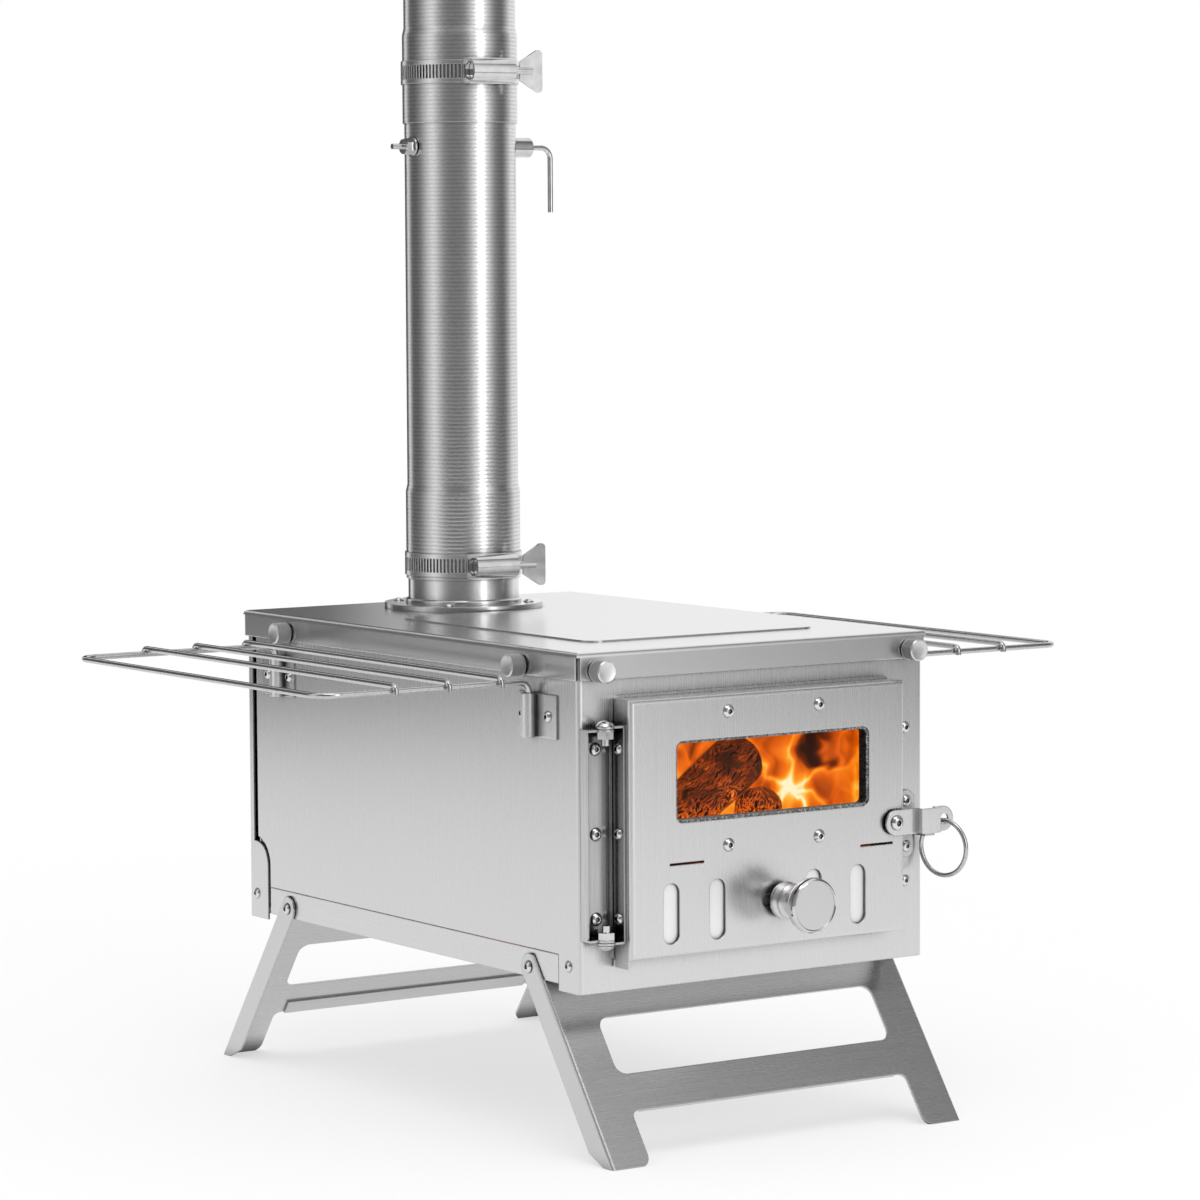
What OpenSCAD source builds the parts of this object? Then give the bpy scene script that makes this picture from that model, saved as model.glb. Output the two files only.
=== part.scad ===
// Tent wood stove: a sheet steel firebox on two folding leg frames, with a hinged
// glass door, two lift-off side racks and a clamped flue with a damper and a spark arrestor.
// X runs across the stove, the door faces -Y and +Z is up. The origin is on the ground
// under the middle of the whole stove.

/* [Firebox] */
// Width across the side panels
body_w = 210; // [200:1:225]
// Depth from the front panel's face to the rear panel's face
body_d = 320; // [310:1:350]
// Height from the corner feet of the box to the lid's top face
body_h = 166; // [160:1:180]
// Thickness of the panels, the pan, the lid and the door
sheet_t = 1; // [0.8:0.1:1.2]
// Outside radius of the folded edges
bend_r = 2.4; // [1.8:0.1:3]
// Height of the box's corner feet above the ground
stand_h = 80.5; // [76:0.5:84]
// Height of the lid's skirt
skirt_h = 13.7; // [12:0.1:16]
// How far the lid's skirt stands outside the panels, each side
lid_over = 1.4; // [1.3:0.1:2]

/* [Door] */
// Width of the door
door_w = 167; // [160:1:168]
// Height of the door
door_h = 126.6; // [122:0.1:128]
// How far the door's face stands in front of the front panel
door_proud = 15; // [14:0.5:17]
// Width of the window
window_w = 117.8; // [100:0.1:120]
// Height of the window
window_h = 40; // [34:0.5:42]
// Width of an air slot
slot_w = 9.6; // [8:0.1:10]
// Height of an air slot
slot_h = 29.8; // [26:0.1:31]
// Thickness of the ceramic glass
glass_t = 3.5; // [3:0.1:4]
// Diameter of the air knob's disc
knob_d = 27.4; // [24:0.1:30]
// Length of the air knob in front of the door
knob_out = 29; // [27:0.5:31]

/* [Legs] */
// Distance of the leg pivots from the front and rear faces
leg_inset = 42.5; // [40:0.1:43]
// Height of the leg pivots above the ground
leg_pivot_z = 89.2; // [89:0.1:89.4]
// Distance of the feet's outer edges from the leg pivots
foot_out = 72.5; // [68:0.5:76]
// Thickness of the leg sheet
leg_t = 1.2; // [1:0.1:1.2]
// Width of the leg's side flange
leg_flange = 13.4; // [13.2:0.1:13.6]

/* [Racks] */
// Distance of the racks' outer edge from the middle of the stove
rack_reach = 228; // [215:1:240]
// Distance of the rack's two legs from the front and rear faces
rack_inset = 38; // [32:0.5:39]
// Diameter of the rack wire
wire_d = 3; // [2.6:0.1:3.2]

/* [Flue] */
// Outside diameter of the flue pipe
pipe_d = 60; // [58:0.5:62]
// Wall of the flue pipe
pipe_wall = 0.7; // [0.6:0.1:0.8]
// Length of a flue section, socket included
section_len = 290.5; // [250:0.5:300]
// Length of the spark arrestor
arrestor_len = 200; // [190:1:220]
// Depth of a pipe socket
socket_depth = 46; // [44:1:48]
// Distance of the flue in front of the rear face
flue_inset = 53; // [52:1:56]
// Turn of the clamps about the flue
clamp_turn = -6; // [-20:1:20]

/* [Hidden] */
$fn = 48;

// Clearances and overruns
over = 2;
body_gap = 0.3;
run_fit = 0.06;
seat_gap = 0.1;

// Heights and faces of the box
lid_top = stand_h + body_h;
front_y = -body_d / 2;
rear_y = body_d / 2;
side_x = body_w / 2;
leg_pivot_y = body_d / 2 - leg_inset;
foot_reach = leg_pivot_y + foot_out;
rack_y = body_d / 2 - rack_inset;
flue_y = rear_y - flue_inset;
lid_seat = 0.5;
strip_seat = 0.5;
panel_h = body_h - sheet_t - lid_seat;
lid_w = body_w + 2 * lid_over;
lid_d = body_d + 2 * lid_over;
skirt_z = lid_top - skirt_h;
door_face_y = front_y - door_proud;
front_reach = -door_face_y + knob_out;
frame_y = (front_reach - foot_reach) / 2;

// Pan flange, wrap corners and the lapped rear joint
pan_edge_rise = 3.5;
pan_floor_rise = 1.6;
seam_rise = 18;
pan_edge_z = stand_h + pan_edge_rise;
pan_floor_z = pan_edge_z + pan_floor_rise;
seam_z = stand_h + seam_rise;
seam_gap = 0.3;
wrap_foot_len = 18;
corner_clear = 0.45;
pan_in = sheet_t + corner_clear;
pan_bend_r = 1.6;
groove_in = 10;
side_rear_y = rear_y - groove_in;
lap_in = 3;
lap_gap = 0.4;
lap_reach = rear_y - sheet_t - lap_gap;
rear_flange = 5.5;
bracket_foot = 19.7;
bracket_arc_r = 12;
bracket_arc_rise = 29.5;
bracket_arc_z = stand_h + bracket_arc_rise;
joint_gap = 3;
pan_rear_y = rear_y - bracket_foot - joint_gap;
pan_front_y = front_y + wrap_foot_len + seam_gap;
pan_tab_z = bracket_arc_z + bracket_arc_r + joint_gap + sheet_t;

// Door opening and the pressed frame around it
door_x = -1.5;
door_drop = 86.4;
window_drop = 64.5;
door_z = lid_top - door_drop;
opening_inset = 11;
opening_r = 6;
frame_rise = 1;
frame_more = 1.5;
frame_r = 5;
door_depth = door_proud - frame_rise - body_gap;
flange_drop = 4;

// Window, screws and glass
window_x = 0.8;
window_z = lid_top - window_drop;
window_r = 4;
gasket_t = 5.8;
gasket_in = 1.3;
gasket_more = 7;
glass_more = 6;
retainer_more_x = 9;
retainer_more_z = 16.6;
retainer_open_more = 2;
retainer_r = 5;
window_nut_h = 2;
window_tail = 0.2;
window_screw_x = 27.6;
window_screw_z = 32.8;

// Air slots, knob slot and guide hooks
air_x = -4.2;
slot_near = 29.3;
slot_far = 56.8;
slot_drop = 41.9;
slot_z = door_z - slot_drop;
knob_x = 4.5;
knob_drop = 40.4;
knob_z = door_z - knob_drop;
slide_shut = 8.2;
slide_open = 12;
stem_d = 5;
stem_gap = 0.5;
slide_gap = 0.6;
slide_t = 1;
slide_left = -67.2;
slide_right = 68;
slide_drop = 20;
slide_top_z = door_z - slide_drop;
lance_len = 20.4;
lance_h = 1.2;
lance_drop = 17.9;
lance_z = door_z - lance_drop;
lance_left_x = -51.8;
lance_right_x = 64.3;
hook_w = 10;
hook_drop = 6;
rail_h = 4;

// Hinge
hinge_x = -94.9;
hinge_back = 6.8;
hinge_y = door_face_y + hinge_back;
hinge_half = 53;
hinge_t = 1.2;
hinge_drop = 1.8;
hinge_z = door_z - hinge_drop;
hinge_tab_r = 4.5;
bolt_d = 4;
bolt_head_d = 9;
bolt_head_h = 2.6;
nut_across = 7.6;
nut_h = 3.4;
bolt_tail = 3;
fixed_leaf_left = -104;
fixed_leaf_right = -89.6;
fixed_lip = 5.6;
hinge_screw_span = 41.3;
hinge_screw_left = 1.1;
door_leaf_front = 4;
door_leaf_back = 1.2;
hex_points = 6;
hex_widen = 1 / cos(180 / hex_points);

// Latch
latch_x = 75;
latch_drop = 7.7;
latch_z = door_z - latch_drop;
arm_w = 12.8;
arm_t = 1.2;
arm_gap = 1.6;
arm_len = 35.8;
arm_y = door_face_y - arm_gap;
hat_left = 88;
hat_w = 11.8;
hat_rise = 4;
ring_hole_r = 2.5;
ring_hole_in = 5.6;
ring_hole_x = latch_x + arm_len - ring_hole_in;
ring_r = 14;
ring_wire_r = 1.2;
ring_turn = 15;
ring_hang_z = latch_z - ring_hole_r + ring_wire_r + body_gap;
keeper_w = 6.2;
keeper_x = hat_left + hat_w / 2;
keeper_shift = 0.9;
keeper_lip_x = keeper_x + keeper_shift;
keeper_t = 1.2;
keeper_down = 20.4;
keeper_up = 13.6;
keeper_bottom = latch_z - keeper_down;
keeper_top = latch_z + keeper_up;
keeper_shelf_z = latch_z - arm_w / 2 - body_gap;
keeper_lip = 6;
keeper_plate_w = 10.8;

// Rivets and screws
rivet_r = 3;
rivet_h = 1.7;
rivet_shank_r = 1.6;
screw_r = 3.4;
small_screw_r = 2.9;
latch_screw_r = 3.8;
screw_h = 2.2;
screw_shank_r = 1.8;
corner_rivet_y = 9.4;
corner_rivet_rise = 13;
corner_rivet_z = stand_h + corner_rivet_rise;
rear_rivet_y = 8;
strip_x = 94;
strip_rise = 39.2;
strip_low_z = stand_h + strip_rise;
strip_drop = 48.8;
strip_high_z = lid_top - strip_drop;
strip_left = 88;
strip_w = 12;
strip_h = 128;

// Thumb screws
thumb_d = 11;
thumb_l = 8.6;
thumb_neck_l = 0.8;
thumb_neck_r = 3;
thumb_shank_r = 2;
thumb_front_x = 95;
thumb_from_rack = 8.6;
thumb_side_y = rack_y - thumb_from_rack;
thumb_drop = 9;
thumb_z = lid_top - thumb_drop;
thumb_tail = 6;

// Lid pressing
plateau_x = 70;
plateau_front = -118;
plateau_rear = 60;
plateau_rise = 0.8;
plateau_r = 8;
relief_w = 1.9;

// Grate
grate_side = 19;
grate_w = body_w - 2 * grate_side;
grate_inset = 37;
grate_d = body_d - 2 * grate_inset;
grate_h = 11.4;
grate_t = 1.2;
grate_rows = 9;
grate_pitch = 25;
grate_slot_l = 64;
grate_slot_w = 8;
grate_slot_x = 40;

// Leg frame
leg_bend_r = 1.8;
leg_half = side_x + body_gap + leg_t;
leg_pivot_in = leg_flange / 2;
leg_run = foot_reach - leg_pivot_y;
leg_span = sqrt(leg_run * leg_run + leg_pivot_z * leg_pivot_z);
leg_lean = atan2(leg_run, leg_pivot_z) - asin(leg_pivot_in / leg_span);
leg_pivot_v = sqrt(leg_span * leg_span - leg_pivot_in * leg_pivot_in);
leg_top_v = (pan_edge_z - body_gap) / cos(leg_lean);
leg_cut_low = 49;
leg_cut_high = 80;
leg_cut_half = 83.7;
leg_cut_r = 6;
leg_bar_low = 29.4;
leg_gap_r = 4;
leg_foot_r = 6;
leg_hem = 8;
leg_hem_half = 78;
foot_flat = 8;
foot_chamfer_l = 14;
foot_chamfer_h = 6;
leg_rivet_r = 2;
leg_rivet_head = 3.2;

// Rack and its brackets
wire_r = wire_d / 2;
tube_play = 1.1;
tube_wall = 1.1;
tube_in = wire_r + tube_play;
tube_out = tube_in + tube_wall;
tube_x = side_x + tube_out;
rack_wire_y = rack_y + tube_in - wire_r - body_gap;
tube_drop = 43.5;
tube_z = lid_top - tube_drop;
tube_h = 21.5;
bracket_t = 1;
bracket_long = 20.5;
bracket_short = 13;
bracket_screw_long = 13.4;
bracket_screw_short = 8.8;
rack_bend_r = 5;
rack_bend_rise = 0.4;
rack_bend_z = tube_z + tube_h + rack_bend_rise;
rack_corner_r = 10;
rack_leg_clear = 2;
rack_bar_first = 12.5;
rack_bar_pitch = 30;
rack_bars = 3;
weld_sink = 0.3;

// Flue
pipe_r = pipe_d / 2;
socket_fit = 0.2;
socket_in = pipe_r + socket_fit;
socket_out = socket_in + pipe_wall;
flare_len = 4;
spigot_short = 1;
collar_r = 42.8;
collar_rise = 3;
collar_fit = 0.1;
collar_spigot = 46;
bead_w = 2;
bead_h = 1.4;
collar_hole_r = 36;
damper_rim_rise = 16;
damper_rim_z = lid_top + damper_rim_rise;
upper_rim_z = damper_rim_z + section_len - socket_depth;
arrestor_rim_z = upper_rim_z + section_len - socket_depth;
lid_hole_r = pipe_r - pipe_wall - collar_fit;
spark_rows = 6;
spark_columns = 12;
spark_r = 4.5;
spark_first = 15;
tab_w = 13;
tab_h = 19;
tab_t = 1.2;
tab_reach = 16;
tab_eye_r = 3.6;
tab_clear = 6.5;
tab_rise = socket_depth + spigot_short + flare_len + tab_clear + tab_h / 2;
tab_z = arrestor_rim_z + tab_rise;
spark_room = arrestor_len - spark_first - tab_rise - tab_h / 2;
spark_pitch = spark_room / (spark_rows + 0.5);

// Damper
damper_rise = 232;
damper_z = damper_rim_z + damper_rise;
rod_r = 1.5;
rod_left = 43;
rod_right = 58;
handle_len = 35;
handle_bend_r = 6;
damper_play = 0.7;
damper_r = pipe_r - pipe_wall - damper_play;
damper_t = 0.8;
sleeve_r = 2.4;
sleeve_l = 8;
sleeve_x = 16;
bush_r = 5.4;
bush_end = 45;
bush_chamfer = 1.4;
washer_r = 5.2;
washer_t = 1;
rod_nut_l = 4;

// Clamps
band_t = 0.7;
band_h = 12.4;
band_slots = 96;
band_slot_w = 1;
band_slot_h = 7.2;
clamp_rise = 2;
band_in = socket_out + seat_gap;
band_out = band_in + band_t;
worm_r = 4.6;
housing_in = 5;
housing_out = 6.4;
worm_axis = band_out + body_gap + worm_r + seat_gap;
housing_l = 25;
housing_wall = 1.4;
saddle_h = 13.6;
worm_l = 21;
key_shaft_r = 2;
key_shaft_l = 6.5;
key_l = 14.5;
key_near = 10;
key_far = 22.6;
key_t = 1.6;
key_round = 2.4;
clamp_lower_z = damper_rim_z + band_h / 2 + clamp_rise;
clamp_middle_rise = 27;
clamp_middle_z = upper_rim_z + clamp_middle_rise;
clamp_upper_z = arrestor_rim_z + band_h / 2 + clamp_rise;

// Plain shapes

module in_frame() {
    translate([0, frame_y, 0]) children();
}

module both_sides() {
    children();
    mirror([1, 0, 0]) children();
}

module rounded_2d(w, h, r) {
    square([w - 2 * r, h], center = true);
    square([w, h - 2 * r], center = true);
    for (x = [-1, 1], y = [-1, 1])
        translate([x * (w / 2 - r), y * (h / 2 - r)]) circle(r);
}

module stadium_2d(length, width) {
    square([length - width, width], center = true);
    for (x = [-1, 1]) translate([x * (length - width) / 2, 0]) circle(width / 2);
}

// A sheet edge folded down at both ends, its face at zero
module folded_2d(w, h, r) {
    translate([-w / 2, -h]) square([w, h - r]);
    translate([r - w / 2, -h]) square([w - 2 * r, h]);
    for (x = [-1, 1]) translate([x * (w / 2 - r), -r]) circle(r);
}

module tray_solid(w, d, h, r) {
    intersection() {
        rotate([90, 0, 0]) linear_extrude(d, center = true) folded_2d(w, h, r);
        rotate([90, 0, 90]) linear_extrude(w, center = true) folded_2d(d, h, r);
    }
}

// A shallow pan folded from one sheet, open below
module tray(w, d, h, r, t) {
    difference() {
        tray_solid(w, d, h, r);
        translate([0, 0, -t]) tray_solid(w - 2 * t, d - 2 * t, h, r - t);
    }
}

// An outline in X and Z, pushed from y towards the front
module forward(y, depth) {
    translate([0, y, 0]) rotate([90, 0, 0]) linear_extrude(depth) children();
}

// An outline in Y and Z, pushed from x to the right
module sideways(x, depth) {
    translate([x, 0, 0]) rotate([90, 0, 90]) linear_extrude(depth) children();
}

module dome(r, h) {
    ball = (r * r + h * h) / (2 * h);
    rotate_extrude() intersection() {
        translate([0, h - ball]) circle(ball);
        square([r, h]);
    }
}

// A domed fastener that points up, its head seated at zero
module fastener(head_r, head_h, shank_r, shank_l) {
    dome(head_r, head_h);
    translate([0, 0, -shank_l]) cylinder(shank_l, r = shank_r);
}

module facing_front(x, y, z) {
    translate([x, y, z]) rotate([90, 0, 0]) children();
}

module facing_right(x, y, z) {
    translate([x, y, z]) rotate([0, 90, 0]) children();
}

module arc_wire(bend, r, from, to) {
    rotate([0, 0, from]) rotate_extrude(angle = to - from) translate([bend, 0]) circle(r);
}

// Firebox

module thumb_places() {
    for (x = [-1, 1]) facing_front(x * thumb_front_x, front_y, thumb_z) children();
    both_sides() for (y = [-1, 1]) facing_right(side_x, y * thumb_side_y, thumb_z) children();
}

module rivet_places() {
    both_sides() facing_right(side_x, front_y + corner_rivet_y, corner_rivet_z) children();
    both_sides() facing_right(side_x, rear_y - rear_rivet_y, corner_rivet_z) children();
    for (z = [strip_low_z, strip_high_z]) facing_front(strip_x, front_y, z) children();
}

module keeper_rivet_places() {
    for (z = [keeper_bottom, keeper_top]) {
        inset = keeper_plate_w / 2;
        inside = z == keeper_bottom ? z + inset : z - inset;
        facing_front(keeper_x, front_y - keeper_t, inside) children();
    }
}

module hinge_body_screw_places() {
    for (i = [-1, 0, 1])
        facing_front(hinge_x - hinge_screw_left, front_y - hinge_t, hinge_z + i * hinge_screw_span) children();
}

module bracket_screw_places() {
    both_sides() for (y = [-1, 1]) {
        facing_right(side_x + bracket_t, y * (rack_y + bracket_screw_long), tube_z + tube_h / 2)
            children();
        facing_right(side_x + bracket_t, y * (rack_y - bracket_screw_short), tube_z + tube_h / 2)
            children();
    }
}

module wrap_plan_2d(inset) {
    w = body_w - 2 * inset;
    r = bend_r - inset;
    front = front_y + inset;
    translate([-w / 2, front + r]) square([w, side_rear_y - front - r + (inset > 0 ? over : 0)]);
    translate([-w / 2 + r, front]) square([w - 2 * r, 2 * r]);
    for (x = [-1, 1]) translate([x * (w / 2 - r), front + r]) circle(r);
}

module lap_plan_2d() {
    inner = side_x - lap_in - sheet_t;
    for (x = [-1, 1]) {
        translate([x > 0 ? inner : -side_x, side_rear_y - sheet_t]) square([side_x - inner, sheet_t]);
        translate([x > 0 ? inner : -inner - sheet_t, side_rear_y - sheet_t])
            square([sheet_t, lap_reach - side_rear_y + sheet_t]);
    }
}

// The corner bracket of the rear panel, grown by a gap, in Y and Z
module bracket_2d(grow) {
    front = rear_y - bracket_foot - grow;
    translate([front, stand_h - over]) square([bracket_foot + over, bracket_arc_z - stand_h + over]);
    translate([rear_y - bracket_foot + bracket_arc_r, bracket_arc_z]) circle(bracket_arc_r + grow);
}

module door_outline_2d(more, r) {
    translate([door_x, door_z]) rounded_2d(door_w + 2 * more, door_h + 2 * more, r);
}

module wrap_panel() in_frame() color("silver") {
    difference() {
        union() {
            translate([0, 0, stand_h]) linear_extrude(panel_h) {
                difference() {
                    wrap_plan_2d(0);
                    wrap_plan_2d(sheet_t);
                }
                lap_plan_2d();
            }
            forward(front_y, frame_rise) door_outline_2d(frame_more, frame_r);
        }
        forward(front_y + sheet_t, frame_rise) difference() {
            door_outline_2d(frame_more - sheet_t, frame_r - sheet_t);
            door_outline_2d(-opening_inset - over, opening_r);
        }
        forward(front_y + over, 2 * over) door_outline_2d(-opening_inset, opening_r);
        both_sides() {
            sideways(side_x - lap_in - 2 * sheet_t, lap_in + 3 * sheet_t)
                translate([pan_front_y - seam_gap, stand_h - over])
                    square([body_d, seam_z - stand_h + over]);
            sideways(side_x - sheet_t, 2 * sheet_t) bracket_2d(joint_gap);
        }
        thumb_places() cylinder(over, r = thumb_shank_r, center = true);
        rivet_places() cylinder(2 * over, r = rivet_shank_r, center = true);
        keeper_rivet_places() cylinder(3 * over, r = rivet_shank_r, center = true);
        hinge_body_screw_places() cylinder(3 * over, r = screw_shank_r, center = true);
        bracket_screw_places() cylinder(3 * over, r = screw_shank_r, center = true);
    }
}

module rear_plan_2d(inset) {
    w = body_w - 2 * inset;
    r = bend_r - inset;
    rear = rear_y - inset;
    front = rear_y - bracket_foot - (inset > 0 ? over : 0);
    translate([-w / 2, front]) square([w, rear - r - front]);
    translate([r - w / 2, rear - 2 * r]) square([w - 2 * r, 2 * r]);
    for (x = [-1, 1]) translate([x * (w / 2 - r), rear - r]) circle(r);
}

module rear_panel() in_frame() color("silver") {
    difference() {
        intersection() {
            translate([0, 0, stand_h]) linear_extrude(panel_h) difference() {
                rear_plan_2d(0);
                rear_plan_2d(sheet_t);
            }
            sideways(-side_x - over, body_w + 2 * over) {
                translate([rear_y - rear_flange, stand_h]) square([rear_flange, body_h]);
                bracket_2d(0);
                translate([rear_y - bracket_foot + bracket_arc_r, bracket_arc_z])
                    square([bracket_foot - bracket_arc_r, bracket_arc_r]);
            }
        }
        rivet_places() cylinder(2 * over, r = rivet_shank_r, center = true);
    }
}

module base_pan() in_frame() color("silver") {
    inner_w = body_w - 2 * pan_in;
    inner_d = body_d - 2 * pan_in;
    tray_h = seam_z - pan_floor_z - seam_gap;
    difference() {
        union() {
            translate([0, 0, pan_floor_z]) mirror([0, 0, 1])
                tray(inner_w, inner_d, tray_h, pan_bend_r, sheet_t);
            both_sides() {
                sideways(side_x - pan_in, pan_in) translate([pan_front_y, pan_edge_z])
                    square([pan_rear_y - pan_front_y, seam_z - seam_gap - pan_edge_z]);
                sideways(side_x - pan_in - sheet_t, sheet_t)
                    translate([pan_rear_y, seam_z - seam_gap - sheet_t])
                        square([side_rear_y - sheet_t - body_gap - pan_rear_y, pan_tab_z - seam_z]);
            }
        }
        rivet_places() cylinder(4 * over, r = rivet_shank_r, center = true);
        leg_pivots() cylinder(4 * over, r = leg_rivet_r, center = true);
    }
}

module lid() in_frame() color("gainsboro") {
    plateau_w = 2 * plateau_x;
    plateau_d = plateau_rear - plateau_front;
    plateau_y = (plateau_rear + plateau_front) / 2;
    difference() {
        union() {
            translate([0, 0, lid_top]) tray(lid_w, lid_d, skirt_h, bend_r, sheet_t);
            translate([0, plateau_y, lid_top]) linear_extrude(plateau_rise)
                rounded_2d(plateau_w, plateau_d, plateau_r);
        }
        translate([0, plateau_y, lid_top - sheet_t - over]) linear_extrude(plateau_rise + over)
            rounded_2d(plateau_w - 2 * sheet_t, plateau_d - 2 * sheet_t, plateau_r - sheet_t);
        for (x = [-1, 1], y = [-1, 1])
            translate([x * lid_w / 2, y * lid_d / 2, skirt_z - over])
                linear_extrude(skirt_h + over - bend_r) square(2 * relief_w, center = true);
        translate([0, flue_y, lid_top - over]) cylinder(2 * over, r = lid_hole_r);
        thumb_places() cylinder(over + lid_over, r = thumb_shank_r);
        collar_rivet_places() cylinder(4 * over, r = rivet_shank_r, center = true);
    }
}

module front_stiffener() in_frame() color("silver") {
    difference() {
        translate([0, 0, seam_z + strip_seat]) linear_extrude(strip_h) {
            translate([strip_left, front_y + sheet_t]) square([strip_w, sheet_t]);
            translate([strip_left, front_y + sheet_t]) square([sheet_t, strip_w - sheet_t]);
        }
        rivet_places() cylinder(4 * over, r = rivet_shank_r, center = true);
        keeper_rivet_places() cylinder(5 * over, r = rivet_shank_r, center = true);
    }
}

module fire_grate() in_frame() color("dimgray") {
    difference() {
        translate([0, 0, pan_floor_z + sheet_t + grate_h])
            tray(grate_w, grate_d, grate_h, pan_bend_r, grate_t);
        for (i = [0 : grate_rows - 1], x = [-1, 1])
            translate([x * grate_slot_x, (i - (grate_rows - 1) / 2) * grate_pitch,
                    pan_floor_z + grate_h - over])
                linear_extrude(3 * over) stadium_2d(grate_slot_l, grate_slot_w);
    }
}

module body_rivets() in_frame() color("lightgray") {
    both_sides() facing_right(side_x, front_y + corner_rivet_y, corner_rivet_z)
        fastener(rivet_r, rivet_h, rivet_shank_r, pan_in + sheet_t);
    both_sides() facing_right(side_x, rear_y - rear_rivet_y, corner_rivet_z)
        fastener(rivet_r, rivet_h, rivet_shank_r, pan_in + sheet_t);
    for (z = [strip_low_z, strip_high_z]) facing_front(strip_x, front_y, z)
        fastener(rivet_r, rivet_h, rivet_shank_r, 2 * sheet_t);
    keeper_rivet_places() fastener(rivet_r, rivet_h, rivet_shank_r, keeper_t + 2 * sheet_t);
}

module thumb_screws() in_frame() color("silver") {
    thumb_places() translate([0, 0, lid_over]) {
        cylinder(thumb_neck_l, r = thumb_neck_r);
        translate([0, 0, thumb_neck_l]) rotate_extrude() difference() {
            square([thumb_d / 2, thumb_l]);
            for (y = [0, thumb_l]) translate([thumb_d / 2, y]) rotate(45)
                square(thumb_neck_l, center = true);
        }
        translate([0, 0, -thumb_tail]) cylinder(thumb_tail, r = thumb_shank_r);
    }
}

module lid_nuts() in_frame() color("gray") {
    thumb_places() translate([0, 0, -sheet_t - nut_h]) difference() {
        cylinder(nut_h, d = nut_across * hex_widen, $fn = hex_points);
        cylinder(nut_h, r = thumb_shank_r);
    }
}

// Door hinge

module hinge_ends() {
    for (end = [-1, 1]) translate([hinge_x, hinge_y, hinge_z + end * hinge_half])
        scale([1, 1, end]) children();
}

module hinge_leaf_body() in_frame() color("silver") {
    tab_out = hinge_t + body_gap;
    leaf_h = 2 * (hinge_half - tab_out);
    difference() {
        union() {
            translate([0, 0, hinge_z - leaf_h / 2]) linear_extrude(leaf_h) {
                translate([fixed_leaf_left, front_y - hinge_t])
                    square([fixed_leaf_right - fixed_leaf_left, hinge_t]);
                translate([fixed_leaf_left, front_y - fixed_lip]) square([hinge_t, fixed_lip]);
            }
            for (end = [-1, 1])
                translate([hinge_x, hinge_y, hinge_z + end * (leaf_h - hinge_t) / 2 - hinge_t / 2])
                    linear_extrude(hinge_t) {
                        circle(hinge_tab_r);
                        translate([fixed_leaf_left - hinge_x, 0])
                            square([hinge_tab_r + hinge_x - fixed_leaf_left, front_y - hinge_y]);
                    }
        }
        translate([hinge_x, hinge_y, hinge_z - hinge_half]) cylinder(2 * hinge_half, d = bolt_d);
        hinge_body_screw_places() cylinder(2 * over, r = screw_shank_r, center = true);
    }
}

module hinge_bolts() in_frame() color("lightgray") {
    stack = 2 * (hinge_t + body_gap);
    hinge_ends() {
        translate([0, 0, body_gap]) dome(bolt_head_d / 2, bolt_head_h);
        translate([0, 0, -stack - nut_h - bolt_tail])
            cylinder(stack + nut_h + bolt_tail + body_gap, d = bolt_d);
    }
}

module hinge_nuts() in_frame() color("lightgray") {
    hinge_ends() translate([0, 0, -2 * hinge_t - body_gap - nut_h]) difference() {
        cylinder(nut_h, d = nut_across * hex_widen, $fn = hex_points);
        cylinder(nut_h, d = bolt_d);
    }
}

module hinge_screws_body() in_frame() color("lightgray") {
    hinge_body_screw_places() fastener(screw_r, screw_h, screw_shank_r, hinge_t + 2 * sheet_t);
}

module door_leaf_places() {
    leaf_y = (door_face_y + door_leaf_front + front_y - frame_rise - door_leaf_back) / 2;
    for (i = [-1, 0, 1])
        translate([door_x - door_w / 2 - hinge_t, leaf_y, hinge_z + i * hinge_screw_span])
            rotate([0, -90, 0]) children();
}

module hinge_leaf_door() in_frame() color("silver") {
    left = door_x - door_w / 2 - hinge_t;
    front = door_face_y + door_leaf_front;
    back = front_y - frame_rise - door_leaf_back;
    difference() {
        union() {
            translate([left, front, hinge_z - hinge_half]) cube([hinge_t, back - front, 2 * hinge_half]);
            for (end = [-1, 1])
                translate([hinge_x, hinge_y, hinge_z + end * (hinge_half - hinge_t / 2) - hinge_t / 2])
                    linear_extrude(hinge_t) {
                        circle(hinge_tab_r);
                        translate([0, front - hinge_y]) square([left + hinge_t - hinge_x,
                            hinge_y + hinge_tab_r - front]);
                    }
        }
        translate([hinge_x, hinge_y, hinge_z - hinge_half - over])
            cylinder(2 * hinge_half + 2 * over, r = bolt_d / 2 + run_fit);
        door_leaf_places() cylinder(2 * over, r = screw_shank_r, center = true);
    }
}

module hinge_screws_door() in_frame() color("lightgray") {
    door_leaf_places() fastener(small_screw_r, screw_h, screw_shank_r, hinge_t + 2 * sheet_t);
}

// Door

module slot_places() {
    for (x = [-slot_far, -slot_near, slot_near, slot_far]) translate([air_x + x, slot_z]) children();
}

module window_screw_places() {
    for (x = [-1, 1], z = [-1, 1])
        facing_front(window_x + x * window_screw_x, door_face_y, window_z + z * window_screw_z)
            children();
}

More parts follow.
